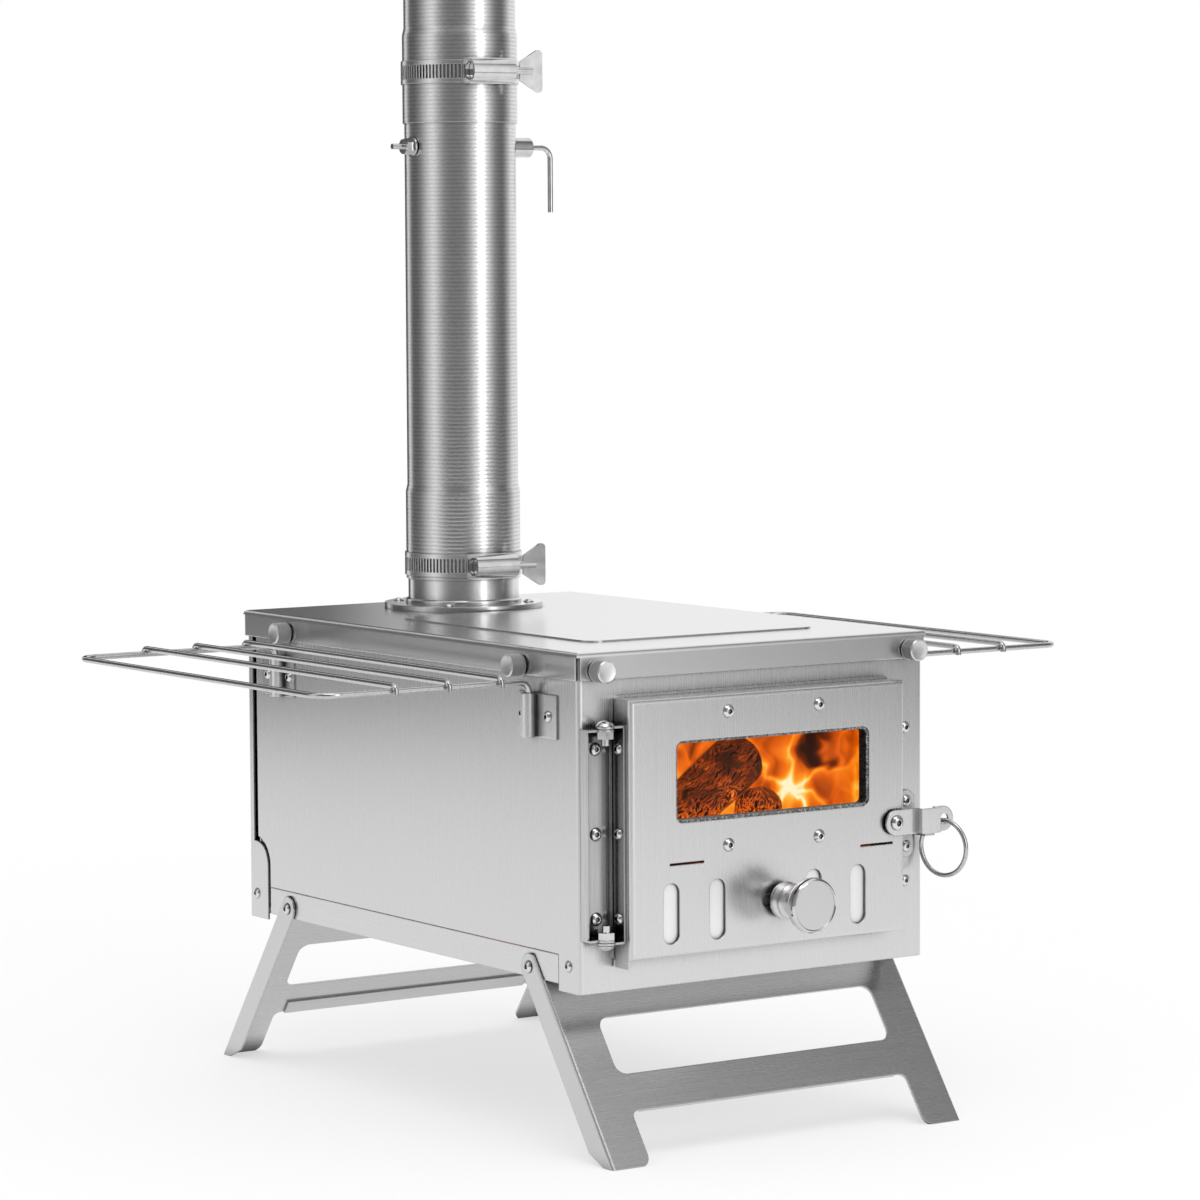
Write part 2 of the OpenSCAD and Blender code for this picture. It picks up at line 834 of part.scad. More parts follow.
module door_pan() in_frame() color("silver") {
    stem_slot = slide_open + slide_shut + stem_d + 2 * stem_gap;
    hook_y = door_face_y + sheet_t + slide_gap + slide_t + body_gap;
    difference() {
        union() {
            translate([door_x, door_face_y, door_z]) rotate([90, 0, 0])
                tray(door_w, door_h, door_depth, bend_r, sheet_t);
            for (x = [lance_left_x, lance_right_x - hook_w]) translate([x, 0, lance_z - lance_h / 2]) {
                translate([0, door_face_y, -sheet_t]) cube([hook_w, hook_y + sheet_t - door_face_y, sheet_t]);
                translate([0, hook_y, -hook_drop]) cube([hook_w, sheet_t, hook_drop]);
            }
            translate([slide_left, hook_y, door_z - door_h / 2])
                cube([slide_right - slide_left, sheet_t, rail_h]);
            translate([door_x - door_w / 2, door_face_y + bend_r, door_z - door_h / 2 - flange_drop])
                cube([sheet_t, door_depth - bend_r, flange_drop + bend_r]);
        }
        forward(door_face_y + over, 2 * over) {
            translate([window_x, window_z]) rounded_2d(window_w, window_h, window_r);
            slot_places() rotate(90) stadium_2d(slot_h, slot_w);
            translate([knob_x + (slide_open - slide_shut) / 2, knob_z])
                stadium_2d(stem_slot, stem_d + 2 * stem_gap);
            translate([lance_left_x, lance_z]) square([lance_len, lance_h], center = true);
            translate([lance_right_x, lance_z]) square([lance_len, lance_h], center = true);
        }
        window_screw_places() cylinder(2 * over, r = screw_shank_r, center = true);
        door_leaf_places() cylinder(2 * over + sheet_t, r = screw_shank_r, center = true);
        facing_front(latch_x, door_face_y, latch_z) cylinder(2 * over, r = screw_shank_r, center = true);
    }
}

module window_gasket() in_frame() color("dimgray") {
    forward(door_face_y + sheet_t + gasket_t, gasket_t) translate([window_x, window_z]) difference() {
        rounded_2d(window_w + 2 * gasket_more, window_h + 2 * gasket_more, retainer_r);
        rounded_2d(window_w - 2 * gasket_in, window_h - 2 * gasket_in, window_r - gasket_in);
    }
}

module window_glass() in_frame() color("lightblue", 0.4) {
    forward(door_face_y + sheet_t + gasket_t + glass_t, glass_t) translate([window_x, window_z])
        rounded_2d(window_w + 2 * glass_more, window_h + 2 * glass_more, window_r);
}

module glass_retainer() in_frame() color("gray") {
    depth = gasket_t + glass_t + sheet_t;
    difference() {
        translate([window_x, door_face_y + sheet_t + depth, window_z]) rotate([-90, 0, 0])
            tray(window_w + 2 * retainer_more_x, window_h + 2 * retainer_more_z, depth,
                pan_bend_r, sheet_t);
        forward(door_face_y + sheet_t + depth + over, 2 * over + sheet_t) translate([window_x, window_z])
            rounded_2d(window_w + 2 * retainer_open_more, window_h + 2 * retainer_open_more, retainer_r);
        window_screw_places() cylinder(3 * depth, r = screw_shank_r, center = true);
    }
}

module window_screws() in_frame() color("lightgray") {
    window_screw_places()
        fastener(screw_r, screw_h, screw_shank_r,
            gasket_t + glass_t + 2 * sheet_t + window_nut_h + window_tail);
}

module window_nuts() in_frame() color("lightgray") {
    window_screw_places() translate([0, 0, -gasket_t - glass_t - 2 * sheet_t - window_nut_h]) difference() {
        cylinder(window_nut_h, d = nut_across * hex_widen, $fn = hex_points);
        cylinder(window_nut_h, r = screw_shank_r);
    }
}

// Air slide

module air_slide() in_frame() color("gainsboro") {
    low = door_z - door_h / 2 + sheet_t + body_gap;
    forward(door_face_y + sheet_t + slide_gap + slide_t, slide_t) difference() {
        translate([slide_left, low]) square([slide_right - slide_left, slide_top_z - low]);
        translate([-slide_open, 0]) slot_places() rotate(90) stadium_2d(slot_h, slot_w);
        translate([knob_x, knob_z]) circle(stem_d / 2);
    }
}

// The stem, two beads on the neck, the flare, the rim's bead and the sunk face
knob_shares = [[0.18, 0], [0.18, 0.1], [0.6, 0.1], [0.66, 0.12], [0.68, 0.16], [0.66, 0.2], [0.6, 0.22],
    [0.55, 0.24], [0.55, 0.27], [0.6, 0.28], [0.64, 0.3], [0.655, 0.33], [0.64, 0.36], [0.6, 0.38],
    [0.53, 0.4], [0.49, 0.45], [0.48, 0.52], [0.51, 0.6], [0.59, 0.67], [0.74, 0.73], [0.9, 0.77],
    [0.97, 0.81], [1, 0.86], [1, 0.92], [0.98, 0.96], [0.94, 0.99], [0.9, 1], [0.87, 0.99], [0.86, 0.975]];

module air_knob() in_frame() color("silver") {
    inside = sheet_t + slide_gap + slide_t;
    face = knob_shares[len(knob_shares) - 1][1] * knob_out;
    facing_front(knob_x, door_face_y, knob_z) {
        rotate_extrude() polygon(concat([[0, 0]],
            [for (p = knob_shares) [p[0] * knob_d / 2, p[1] * knob_out]], [[0, face]]));
        translate([0, 0, -inside - over]) cylinder(inside + over, d = stem_d);
    }
}

// Latch

module latch_arm() in_frame() color("silver") {
    hat_inner = hat_w - 2 * arm_t;
    difference() {
        union() {
            forward(arm_y, arm_t) {
                translate([latch_x + arm_len / 2 - arm_w / 4, latch_z])
                    square([arm_len - arm_w * 1.5, arm_w], center = true);
                translate([latch_x, latch_z]) circle(arm_w / 2);
                translate([latch_x, latch_z - arm_w / 2]) square([arm_len - arm_w / 2, arm_w]);
                translate([latch_x + arm_len - arm_w / 2, latch_z]) circle(arm_w / 2);
            }
            translate([hat_left, arm_y - hat_rise - arm_t, latch_z - arm_w / 2])
                cube([hat_w, hat_rise + arm_t, arm_w]);
        }
        translate([hat_left + arm_t, arm_y - hat_rise, latch_z - arm_w])
            cube([hat_inner, hat_rise + over, 2 * arm_w]);
        facing_front(ring_hole_x, arm_y, latch_z) cylinder(3 * over, r = ring_hole_r, center = true);
        facing_front(latch_x, arm_y, latch_z)
            cylinder(3 * over, r = screw_shank_r + run_fit, center = true);
    }
}

module latch_screw() in_frame() color("lightgray") {
    facing_front(latch_x, arm_y - arm_t - body_gap, latch_z)
        fastener(latch_screw_r, screw_h, screw_shank_r, arm_t + body_gap + arm_gap + 2 * sheet_t);
    facing_front(latch_x, door_face_y, latch_z) difference() {
        cylinder(arm_gap - body_gap, r = screw_r);
        cylinder(arm_gap - body_gap, r = screw_shank_r);
    }
}

module pull_ring() in_frame() color("silver") {
    translate([ring_hole_x, arm_y - arm_t / 2, ring_hang_z - ring_r]) rotate([90, 0, 90 + ring_turn])
        rotate_extrude() translate([ring_r, 0]) circle(ring_wire_r);
}

module latch_keeper() in_frame() color("silver") {
    plate_h = keeper_top - keeper_bottom;
    lip_y = arm_y - hat_rise / 2 - keeper_t / 2;
    difference() {
        union() {
            forward(front_y, keeper_t) translate([keeper_x, (keeper_top + keeper_bottom) / 2])
                rotate(90) stadium_2d(plate_h, keeper_plate_w);
            translate([keeper_lip_x - keeper_w / 2, lip_y, keeper_shelf_z - keeper_t])
                cube([keeper_w, front_y - lip_y, keeper_t]);
            translate([keeper_lip_x - keeper_w / 2, lip_y, keeper_shelf_z - keeper_t])
                cube([keeper_w, keeper_t, keeper_lip + keeper_t]);
        }
        keeper_rivet_places() cylinder(3 * over, r = rivet_shank_r, center = true);
    }
}

// Rack brackets

module bracket(front) {
    translate([0, front * rack_y, tube_z]) linear_extrude(tube_h) difference() {
        union() {
            translate([tube_x, 0]) circle(tube_out);
            translate([side_x, front > 0 ? -bracket_short : -bracket_long])
                square([bracket_t, bracket_short + bracket_long]);
            translate([side_x, -tube_in]) square([tube_out, 2 * tube_in]);
        }
        translate([tube_x, 0]) circle(tube_in);
    }
}

module drilled_bracket(front) {
    difference() {
        bracket(front);
        bracket_screw_places() cylinder(2 * over, r = screw_shank_r, center = true);
    }
}

module bracket_left_front() in_frame() color("silver") mirror([1, 0, 0]) drilled_bracket(-1);
module bracket_left_rear() in_frame() color("silver") mirror([1, 0, 0]) drilled_bracket(1);
module bracket_right_front() in_frame() color("silver") drilled_bracket(-1);
module bracket_right_rear() in_frame() color("silver") drilled_bracket(1);

module bracket_screws() in_frame() color("lightgray") {
    bracket_screw_places() fastener(small_screw_r, screw_h, screw_shank_r, bracket_t + 2 * sheet_t);
}

// Racks

module rack_plane(reach) {
    side_l = reach - rack_corner_r;
    for (y = [-1, 1]) {
        translate([0, y * rack_wire_y, 0]) rotate([0, 90, 0]) cylinder(side_l, r = wire_r);
        translate([side_l, y * (rack_wire_y - rack_corner_r), 0])
            arc_wire(rack_corner_r, wire_r, y > 0 ? 0 : -90, y > 0 ? 90 : 0);
    }
    translate([reach, rack_corner_r - rack_wire_y, 0]) rotate([-90, 0, 0])
        cylinder(2 * (rack_wire_y - rack_corner_r), r = wire_r);
    for (i = [0 : rack_bars - 1]) translate([rack_bar_first + i * rack_bar_pitch, 0, 0]) {
        lift = wire_d - weld_sink;
        translate([0, -rack_wire_y, lift]) rotate([-90, 0, 0]) cylinder(2 * rack_wire_y, r = wire_r);
        for (y = [-1, 1]) translate([0, y * rack_wire_y, 0]) {
            rotate([0, -90, 0]) arc_wire(lift, wire_r, y > 0 ? 0 : -90, y > 0 ? 90 : 0);
            translate([0, y * lift, -wire_r]) cylinder(wire_r, r = wire_r);
        }
    }
}

module rack() {
    start_x = tube_x + rack_bend_r;
    leg_low = tube_z + rack_leg_clear;
    for (y = [-1, 1]) translate([0, y * rack_wire_y, 0]) {
        translate([tube_x, 0, leg_low]) cylinder(rack_bend_z - leg_low, r = wire_r);
        translate([tube_x + rack_bend_r, 0, rack_bend_z]) rotate([90, 0, 0])
            arc_wire(rack_bend_r, wire_r, 90, 180);
    }
    translate([start_x, 0, rack_bend_z + rack_bend_r]) rack_plane(rack_reach - wire_r - start_x);
}

module left_rack() in_frame() color("silver") mirror([1, 0, 0]) rack($fn = 32);
module right_rack() in_frame() color("silver") rack($fn = 32);

// Legs

module leg_pivots() {
    both_sides() for (y = [-1, 1]) facing_right(side_x, y * leg_pivot_y, leg_pivot_z) children();
}

module leg_rivets() in_frame() color("lightgray") {
    leg_pivots() {
        translate([0, 0, leg_t + 2 * body_gap]) dome(leg_rivet_head, rivet_h);
        translate([0, 0, -pan_in - sheet_t])
            cylinder(pan_in + sheet_t + leg_t + 2 * body_gap, r = leg_rivet_r);
    }
}

module channel_2d(inset) {
    half = leg_half - inset;
    r = leg_bend_r - inset;
    translate([-half, inset + r]) square([2 * half, leg_flange - r - inset + (inset > 0 ? over : 0)]);
    translate([r - half, inset]) square([2 * (half - r), 2 * r]);
    for (x = [-1, 1]) translate([x * (half - r), inset + r]) circle(r);
}

module leg_openings_2d() {
    translate([0, (leg_cut_low + leg_cut_high) / 2])
        rounded_2d(2 * leg_cut_half, leg_cut_high - leg_cut_low, leg_cut_r);
    translate([0, leg_bar_low - body_w / 2]) rounded_2d(2 * leg_cut_half, body_w, leg_gap_r);
    for (x = [-1, 1]) translate([x * (leg_cut_half + leg_foot_r), leg_foot_r]) difference() {
        translate([x > 0 ? -leg_foot_r - over : 0, -leg_foot_r - over])
            square([leg_foot_r + over, leg_foot_r + over]);
        circle(leg_foot_r);
    }
    translate([-leg_half + leg_t, leg_top_v]) square([2 * (leg_half - leg_t), leg_pivot_v]);
}

module leg_frame() {
    flange_end = leg_pivot_v + leg_pivot_in;
    difference() {
        translate([0, -foot_reach, 0]) rotate([-leg_lean, 0, 0]) {
            difference() {
                translate([0, 0, -leg_flange]) linear_extrude(flange_end + leg_flange) difference() {
                    channel_2d(0);
                    channel_2d(leg_t);
                }
                translate([0, leg_t + over, 0]) rotate([90, 0, 0]) linear_extrude(2 * over + leg_t)
                    leg_openings_2d();
                sideways(-leg_half - over, 2 * (leg_half + over)) difference() {
                    translate([-over, leg_pivot_v]) square([leg_flange + 2 * over, leg_flange]);
                    translate([leg_pivot_in, leg_pivot_v]) circle(leg_pivot_in);
                }
                translate([-leg_half - over, leg_pivot_in, leg_pivot_v]) rotate([0, 90, 0])
                    cylinder(2 * (leg_half + over), r = leg_rivet_r + run_fit);
            }
            translate([-leg_hem_half, leg_t, leg_bar_low]) cube([2 * leg_hem_half, leg_t, leg_hem]);
        }
        translate([0, -foot_reach, -body_w / 2]) cube([2 * body_w, body_w, body_w], center = true);
        sideways(-leg_half - over, 2 * (leg_half + over)) translate([-foot_reach, 0])
            polygon([[foot_flat, 0], [foot_flat, -over], [foot_flat + foot_chamfer_l, -over],
                [foot_flat + foot_chamfer_l, foot_chamfer_h]]);
    }
}

module front_legs() in_frame() color("silver") leg_frame();
module rear_legs() in_frame() color("silver") mirror([0, 1, 0]) leg_frame();

// Flue

module at_flue(z) in_frame() translate([0, flue_y, z]) children();

module collar_rivet_places() {
    for (a = [45 : 90 : 360])
        translate([collar_hole_r * cos(a), flue_y + collar_hole_r * sin(a), lid_top + collar_rise])
            children();
}

module flue_collar() color("silver") at_flue(lid_top) difference() {
    rotate_extrude() {
        translate([pipe_r - pipe_wall - collar_fit, 0]) square([pipe_wall, collar_spigot]);
        translate([pipe_r - pipe_wall, collar_rise - sheet_t])
            square([collar_r - pipe_r + pipe_wall, sheet_t]);
        translate([collar_r - sheet_t, 0]) square([sheet_t, collar_rise]);
        translate([pipe_r - pipe_wall, collar_rise - over / 2]) square([bead_w, bead_h + over / 2]);
        translate([pipe_r - pipe_wall + bead_w / 2, collar_rise + bead_h]) circle(bead_w / 2);
    }
    translate([0, -flue_y, -lid_top]) collar_rivet_places()
        cylinder(2 * over, r = rivet_shank_r, center = true);
}

module collar_rivets() in_frame() color("lightgray") {
    collar_rivet_places() fastener(rivet_r, rivet_h, rivet_shank_r, collar_rise + sheet_t);
}

// A pipe with a socket at its lower end, standing on zero
module socket_pipe(length) {
    step = socket_depth + spigot_short;
    rotate_extrude() polygon([[socket_in, 0], [socket_out, 0], [socket_out, step],
        [pipe_r, step + flare_len], [pipe_r, length], [pipe_r - pipe_wall, length],
        [pipe_r - pipe_wall, step + flare_len], [socket_in, step]]);
}

module damper_pipe() color("silver") difference() {
    at_flue(damper_rim_z) socket_pipe(section_len);
    at_flue(damper_z) rotate([0, 90, 0]) cylinder(2 * pipe_d, r = rod_r + run_fit, center = true);
}

module upper_pipe() color("silver") at_flue(upper_rim_z) socket_pipe(section_len);

module spark_arrestor() color("silver") at_flue(arrestor_rim_z) difference() {
    socket_pipe(arrestor_len);
    for (row = [0 : spark_rows - 1], column = [0 : spark_columns - 1])
        rotate([0, 90, column * 360 / spark_columns])
            translate([spark_first + row * spark_pitch - arrestor_len, 0, pipe_r - over])
                cylinder(2 * over, r = spark_r, $fn = 24);
}

module guy_tabs() color("silver") at_flue(tab_z) {
    for (a = [0 : 90 : 270]) rotate(a) difference() {
        union() {
            intersection() {
                difference() {
                    cylinder(tab_h, r = pipe_r + seat_gap + tab_t, center = true);
                    cylinder(2 * tab_h, r = pipe_r + seat_gap, center = true);
                }
                translate([0, 0, -tab_h]) cube([pipe_d, tab_w, 2 * tab_h]);
            }
            rotate([90, 0, 0]) linear_extrude(tab_t) {
                translate([pipe_r, -tab_w / 2]) square([tab_reach - tab_w / 2, tab_w]);
                translate([pipe_r + tab_reach - tab_w / 2, 0]) circle(tab_w / 2);
            }
        }
        cylinder(2 * tab_h, r = pipe_r + seat_gap, center = true);
        translate([pipe_r + tab_reach - tab_w / 2, 0, 0]) rotate([90, 0, 0])
            cylinder(2 * over + tab_t, r = tab_eye_r, center = true);
    }
}

// Damper

module damper_bush() color("silver") at_flue(damper_z) rotate([0, 90, 0]) difference() {
    rotate_extrude() polygon([[0, 0], [bush_r, 0], [bush_r, bush_end - bush_chamfer],
        [bush_r - bush_chamfer, bush_end], [0, bush_end]]);
    cylinder(3 * bush_end, r = rod_r + run_fit, center = true);
    rotate([0, -90, 0]) cylinder(2 * pipe_d, r = pipe_r + seat_gap, center = true);
}

module damper_rod() color("silver") at_flue(damper_z) {
    straight = rod_left + rod_right - handle_bend_r;
    translate([-rod_left, 0, 0]) rotate([0, 90, 0]) cylinder(straight, r = rod_r);
    translate([rod_right - handle_bend_r, 0, -handle_bend_r]) rotate([90, 0, 0])
        arc_wire(handle_bend_r, rod_r, 0, 90);
    translate([rod_right, 0, -handle_len]) cylinder(handle_len - handle_bend_r, r = rod_r);
}

module damper_plate() color("dimgray") at_flue(damper_z) difference() {
    union() {
        translate([0, rod_r, 0]) rotate([-90, 0, 0]) cylinder(damper_t, r = damper_r);
        for (x = [-1, 1]) translate([x * sleeve_x, 0, 0]) rotate([0, 90, 0])
            cylinder(sleeve_l, r = sleeve_r, center = true);
    }
    rotate([0, 90, 0]) cylinder(2 * pipe_d, r = rod_r, center = true);
}

module damper_nut() color("lightgray") at_flue(damper_z)
    translate([-pipe_r - body_gap - washer_t, 0, 0]) rotate([0, 90, 0]) difference() {
        union() {
            cylinder(washer_t, r = washer_r);
            translate([0, 0, -rod_nut_l])
                cylinder(rod_nut_l, d = nut_across * hex_widen, $fn = hex_points);
            translate([0, 0, -rod_nut_l - washer_t]) cylinder(washer_t, r = bolt_d);
        }
        cylinder(4 * rod_nut_l, r = rod_r, center = true);
    }

// Clamps

module at_clamp(z) at_flue(z) rotate(clamp_turn) children();

module clamp_band(z) color("silver") at_clamp(z) difference() {
    cylinder(band_h, r = band_out, center = true, $fn = band_slots);
    cylinder(2 * band_h, r = band_in, center = true, $fn = band_slots);
    for (i = [0 : band_slots - 1]) rotate(i * 360 / band_slots)
        translate([band_in + band_t / 2, 0, 0]) cube([2 * over, band_slot_w, band_slot_h], center = true);
}

module clamp_housing(z) color("silver") at_clamp(z) difference() {
    union() {
        translate([0, -worm_axis, 0]) rotate([0, 90, 0]) cylinder(housing_l, r = housing_out, center = true);
        translate([-housing_l / 2, -worm_axis, -saddle_h / 2]) cube([housing_l, worm_axis, saddle_h]);
    }
    cylinder(2 * saddle_h, r = band_out + seat_gap, center = true);
    translate([-housing_l / 2 - over, -worm_axis, 0]) rotate([0, 90, 0])
        cylinder(housing_l + over - housing_wall, r = housing_in);
    translate([0, -worm_axis, 0]) rotate([0, 90, 0]) cylinder(housing_l, r = key_shaft_r + run_fit);
}

module key_wing_2d() {
    hull() {
        translate([key_round, 0]) square([key_round, key_near], center = true);
        for (y = [-1, 1]) translate([key_l - key_round, y * (key_far / 2 - key_round)])
            circle(key_round, $fn = 32);
    }
}

module clamp_key(z) color("gainsboro") at_clamp(z) translate([0, -worm_axis, 0]) {
    worm_end = housing_l / 2 - housing_wall - body_gap;
    rotate([0, 90, 0]) {
        translate([0, 0, worm_end - worm_l]) cylinder(worm_l, r = worm_r);
        translate([0, 0, worm_end]) cylinder(key_shaft_l + key_l / 2, r = key_shaft_r);
    }
    translate([worm_end + key_shaft_l - key_round / 2, key_t / 2, 0]) rotate([90, 0, 0])
        linear_extrude(key_t) key_wing_2d();
}

module clamp_band_lower() clamp_band(clamp_lower_z);
module clamp_band_middle() clamp_band(clamp_middle_z);
module clamp_band_upper() clamp_band(clamp_upper_z);
module clamp_housing_lower() clamp_housing(clamp_lower_z);
module clamp_housing_middle() clamp_housing(clamp_middle_z);
module clamp_housing_upper() clamp_housing(clamp_upper_z);
module clamp_key_lower() clamp_key(clamp_lower_z);
module clamp_key_middle() clamp_key(clamp_middle_z);
module clamp_key_upper() clamp_key(clamp_upper_z);

wrap_panel();
rear_panel();
base_pan();
lid();
front_stiffener();
fire_grate();
body_rivets();
thumb_screws();
lid_nuts();
hinge_leaf_body();
hinge_bolts();
hinge_nuts();
hinge_screws_body();
latch_keeper();
bracket_left_front();
bracket_left_rear();
bracket_right_front();
bracket_right_rear();
bracket_screws();
leg_rivets();
flue_collar();
collar_rivets();
damper_pipe();
damper_bush();
upper_pipe();
spark_arrestor();
guy_tabs();
clamp_band_lower();
clamp_band_middle();
clamp_band_upper();
clamp_housing_lower();
clamp_housing_middle();
clamp_housing_upper();
clamp_key_lower();
clamp_key_middle();
clamp_key_upper();
damper_plate();
damper_rod();
damper_nut();
door_pan();
window_gasket();
window_glass();
glass_retainer();
window_screws();
window_nuts();
hinge_leaf_door();
hinge_screws_door();
latch_screw();
air_slide();
air_knob();
latch_arm();
pull_ring();
front_legs();
rear_legs();
left_rack();
right_rack();
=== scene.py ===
import math
import random

import bmesh
import bpy
from mathutils import Matrix, Vector


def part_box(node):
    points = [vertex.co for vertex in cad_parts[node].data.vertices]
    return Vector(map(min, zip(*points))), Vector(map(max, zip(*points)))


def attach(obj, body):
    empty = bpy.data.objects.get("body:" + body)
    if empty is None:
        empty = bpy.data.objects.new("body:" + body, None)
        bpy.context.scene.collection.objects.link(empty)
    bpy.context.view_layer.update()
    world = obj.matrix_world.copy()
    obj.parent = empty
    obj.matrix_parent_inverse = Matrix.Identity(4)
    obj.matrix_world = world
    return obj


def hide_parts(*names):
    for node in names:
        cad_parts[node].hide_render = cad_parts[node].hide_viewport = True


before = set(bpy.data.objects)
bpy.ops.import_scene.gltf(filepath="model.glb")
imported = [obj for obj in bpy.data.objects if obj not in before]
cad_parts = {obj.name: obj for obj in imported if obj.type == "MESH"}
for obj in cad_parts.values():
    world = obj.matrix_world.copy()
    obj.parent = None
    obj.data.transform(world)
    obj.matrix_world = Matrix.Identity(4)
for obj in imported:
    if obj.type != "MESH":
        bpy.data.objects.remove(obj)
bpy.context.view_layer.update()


# View and light
# The camera stands low and left of the door, with a long lens. A large lamp above and a strip lamp
# at the right light the stove. Grey walls, which only reflections show, give the steel its bands.

lid_low, lid_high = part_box("lid")
wrap_low, wrap_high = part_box("wrap_panel")
box_width = wrap_high.x - wrap_low.x
box_middle_y = (lid_low.y + lid_high.y) / 2

# The distances of the view are in widths of the firebox.
view_azimuth, view_elevation, view_roll = (math.radians(v) for v in (-34.158, 4.568, -0.303))
view_distance, view_right, view_up, aim_height = 11.0358, 0.0658, 0.72, 0.5
focal_pixels, photo_pixels, sensor_width, far_clip = 4413.24, 1200, 36, 50

back = Vector((math.sin(view_azimuth) * math.cos(view_elevation),
               -math.cos(view_azimuth) * math.cos(view_elevation), math.sin(view_elevation)))
level_right = Vector((math.cos(view_azimuth), math.sin(view_azimuth), 0))
level_up = back.cross(level_right)
right = level_right * math.cos(view_roll) + level_up * math.sin(view_roll)
up = level_up * math.cos(view_roll) - level_right * math.sin(view_roll)
place = (back * view_distance + level_right * view_right + level_up * view_up
         + Vector((0, 0, aim_height))) * box_width + Vector((0, box_middle_y, 0))


def placed(name, data):
    """A new object in the scene, at the origin."""
    made = bpy.data.objects.new(name, data)
    bpy.context.scene.collection.objects.link(made)
    return made


camera = placed("camera", bpy.data.cameras.new("camera"))
camera.data.sensor_width = sensor_width
camera.data.lens = sensor_width * focal_pixels / photo_pixels
camera.data.clip_end = far_clip
camera.matrix_world = Matrix.Translation(place) @ Matrix((right, up, back)).transposed().to_4x4()
bpy.context.scene.camera = camera
bpy.context.scene.view_settings.view_transform = "Standard"


def join(socket, value):
    """Links a value of a material to a socket, or sets the socket to a plain number or colour."""
    if isinstance(value, Flow):
        value.tree.links.new(value.socket, socket)
    else:
        socket.default_value = value


class Flow:
    """One value in a material. Arithmetic on it adds Math nodes."""

    def __init__(self, tree, socket):
        self.tree, self.socket = tree, socket

    def math(self, operation, first, second):
        node = self.tree.nodes.new("ShaderNodeMath")
        node.operation = operation
        for socket, value in zip(node.inputs, (first, second)):
            join(socket, value)
        return Flow(self.tree, node.outputs[0])

    def __add__(self, other): return self.math("ADD", self, other)
    def __radd__(self, other): return self.math("ADD", other, self)
    def __sub__(self, other): return self.math("SUBTRACT", self, other)
    def __rsub__(self, other): return self.math("SUBTRACT", other, self)
    def __mul__(self, other): return self.math("MULTIPLY", self, other)
    def __rmul__(self, other): return self.math("MULTIPLY", other, self)
    def __truediv__(self, other): return self.math("DIVIDE", self, other)
    def __rtruediv__(self, other): return self.math("DIVIDE", other, self)
    def __pow__(self, other): return self.math("POWER", self, other)
    def __abs__(self): return self.math("ABSOLUTE", self, 0)


class Finish:
    """A surface finish: one material with one Principled shader."""

    def __init__(self, name):
        self.material = bpy.data.materials.new(name)
        self.material.use_nodes = True
        self.tree = self.material.node_tree
        self.shader = self.tree.nodes["Principled BSDF"]

    def node(self, kind, settings=None, inputs=None, out=0):
        made = self.tree.nodes.new(kind)
        for key, value in (settings or {}).items():
            if key == "stops":
                stops = made.color_ramp.elements
                while len(stops) < len(value):
                    stops.new(0.5)
                for stop, (position, colour) in zip(stops, value):
                    stop.position, stop.color = position, (*colour, 1)
            else:
                setattr(made, key, value)
        for key, value in (inputs or {}).items():
            join(made.inputs[key], value)
        return Flow(self.tree, made.outputs[out])

    def set(self, **values):
        for key, value in values.items():
            join(self.shader.inputs[key.replace("_", " ")], value)
        return self

    def position(self):
        return self.node("ShaderNodeTexCoord", out="Object")

    def stored(self, name, out="Fac"):
        return self.node("ShaderNodeAttribute", {"attribute_name": name}, out=out)

    def stretched(self, vector, scale, shift=(0, 0, 0)):
        return self.node("ShaderNodeMapping", {}, {"Vector": vector, "Location": shift, "Scale": scale})

    def along(self, vector, axis):
        return self.node("ShaderNodeSeparateXYZ", {}, {"Vector": vector}, axis)

    def length(self, vector):
        return self.node("ShaderNodeVectorMath", {"operation": "LENGTH"}, {0: vector}, "Value")

    def noise(self, vector, scale, detail):
        return self.node("ShaderNodeTexNoise", {}, {"Vector": vector, "Scale": scale, "Detail": detail})

    def fade(self, value, low, high, start=0.0, end=1.0, smooth=False):
        """Goes from start to end while the value goes from low to high."""
        kind = "SMOOTHSTEP" if smooth else "LINEAR"
        return self.node("ShaderNodeMapRange", {"interpolation_type": kind}, {
            "Value": value, "From Min": low, "From Max": high, "To Min": start, "To Max": end}, "Result")

    def ramp(self, value, stops):
        """Stops are a value and its colour, or one number for a grey."""
        stops = [(at, colour if isinstance(colour, tuple) else (colour,) * 3) for at, colour in stops]
        return self.node("ShaderNodeValToRGB", {"stops": stops}, {"Fac": value})


# The floor keeps the stove's shadow near it, and is plain white paper further out.
floor_half, floor_colour, floor_rough = 12.0, (0.9, 0.9, 0.9, 1), 0.9
paper_near, paper_far, paper_least = 0.35, 1.3, 0.55
white, full = (1, 1, 1, 1), 1.0

floor_mesh = bpy.data.meshes.new("floor")
floor_mesh.from_pydata([(x * floor_half, y * floor_half, 0)
                        for x, y in ((-1, -1), (1, -1), (1, 1), (-1, 1))], [], [(0, 1, 2, 3)])
floor = placed("floor", floor_mesh)
floor_paint = Finish("floor_paint").set(Base_Color=floor_colour, Roughness=floor_rough)
from_stove = floor_paint.length(floor_paint.position())
far_out = floor_paint.fade(from_stove, paper_near, paper_far, paper_least, full, smooth=True)
seen = (floor_paint.node("ShaderNodeLightPath", out="Is Camera Ray")
        + floor_paint.node("ShaderNodeLightPath", out="Is Glossy Ray")
        + floor_paint.node("ShaderNodeLightPath", out="Is Transmission Ray"))
lit = Flow(floor_paint.tree, floor_paint.shader.outputs["BSDF"])
paper = floor_paint.node("ShaderNodeEmission", {}, {"Color": white, "Strength": full}, "Emission")
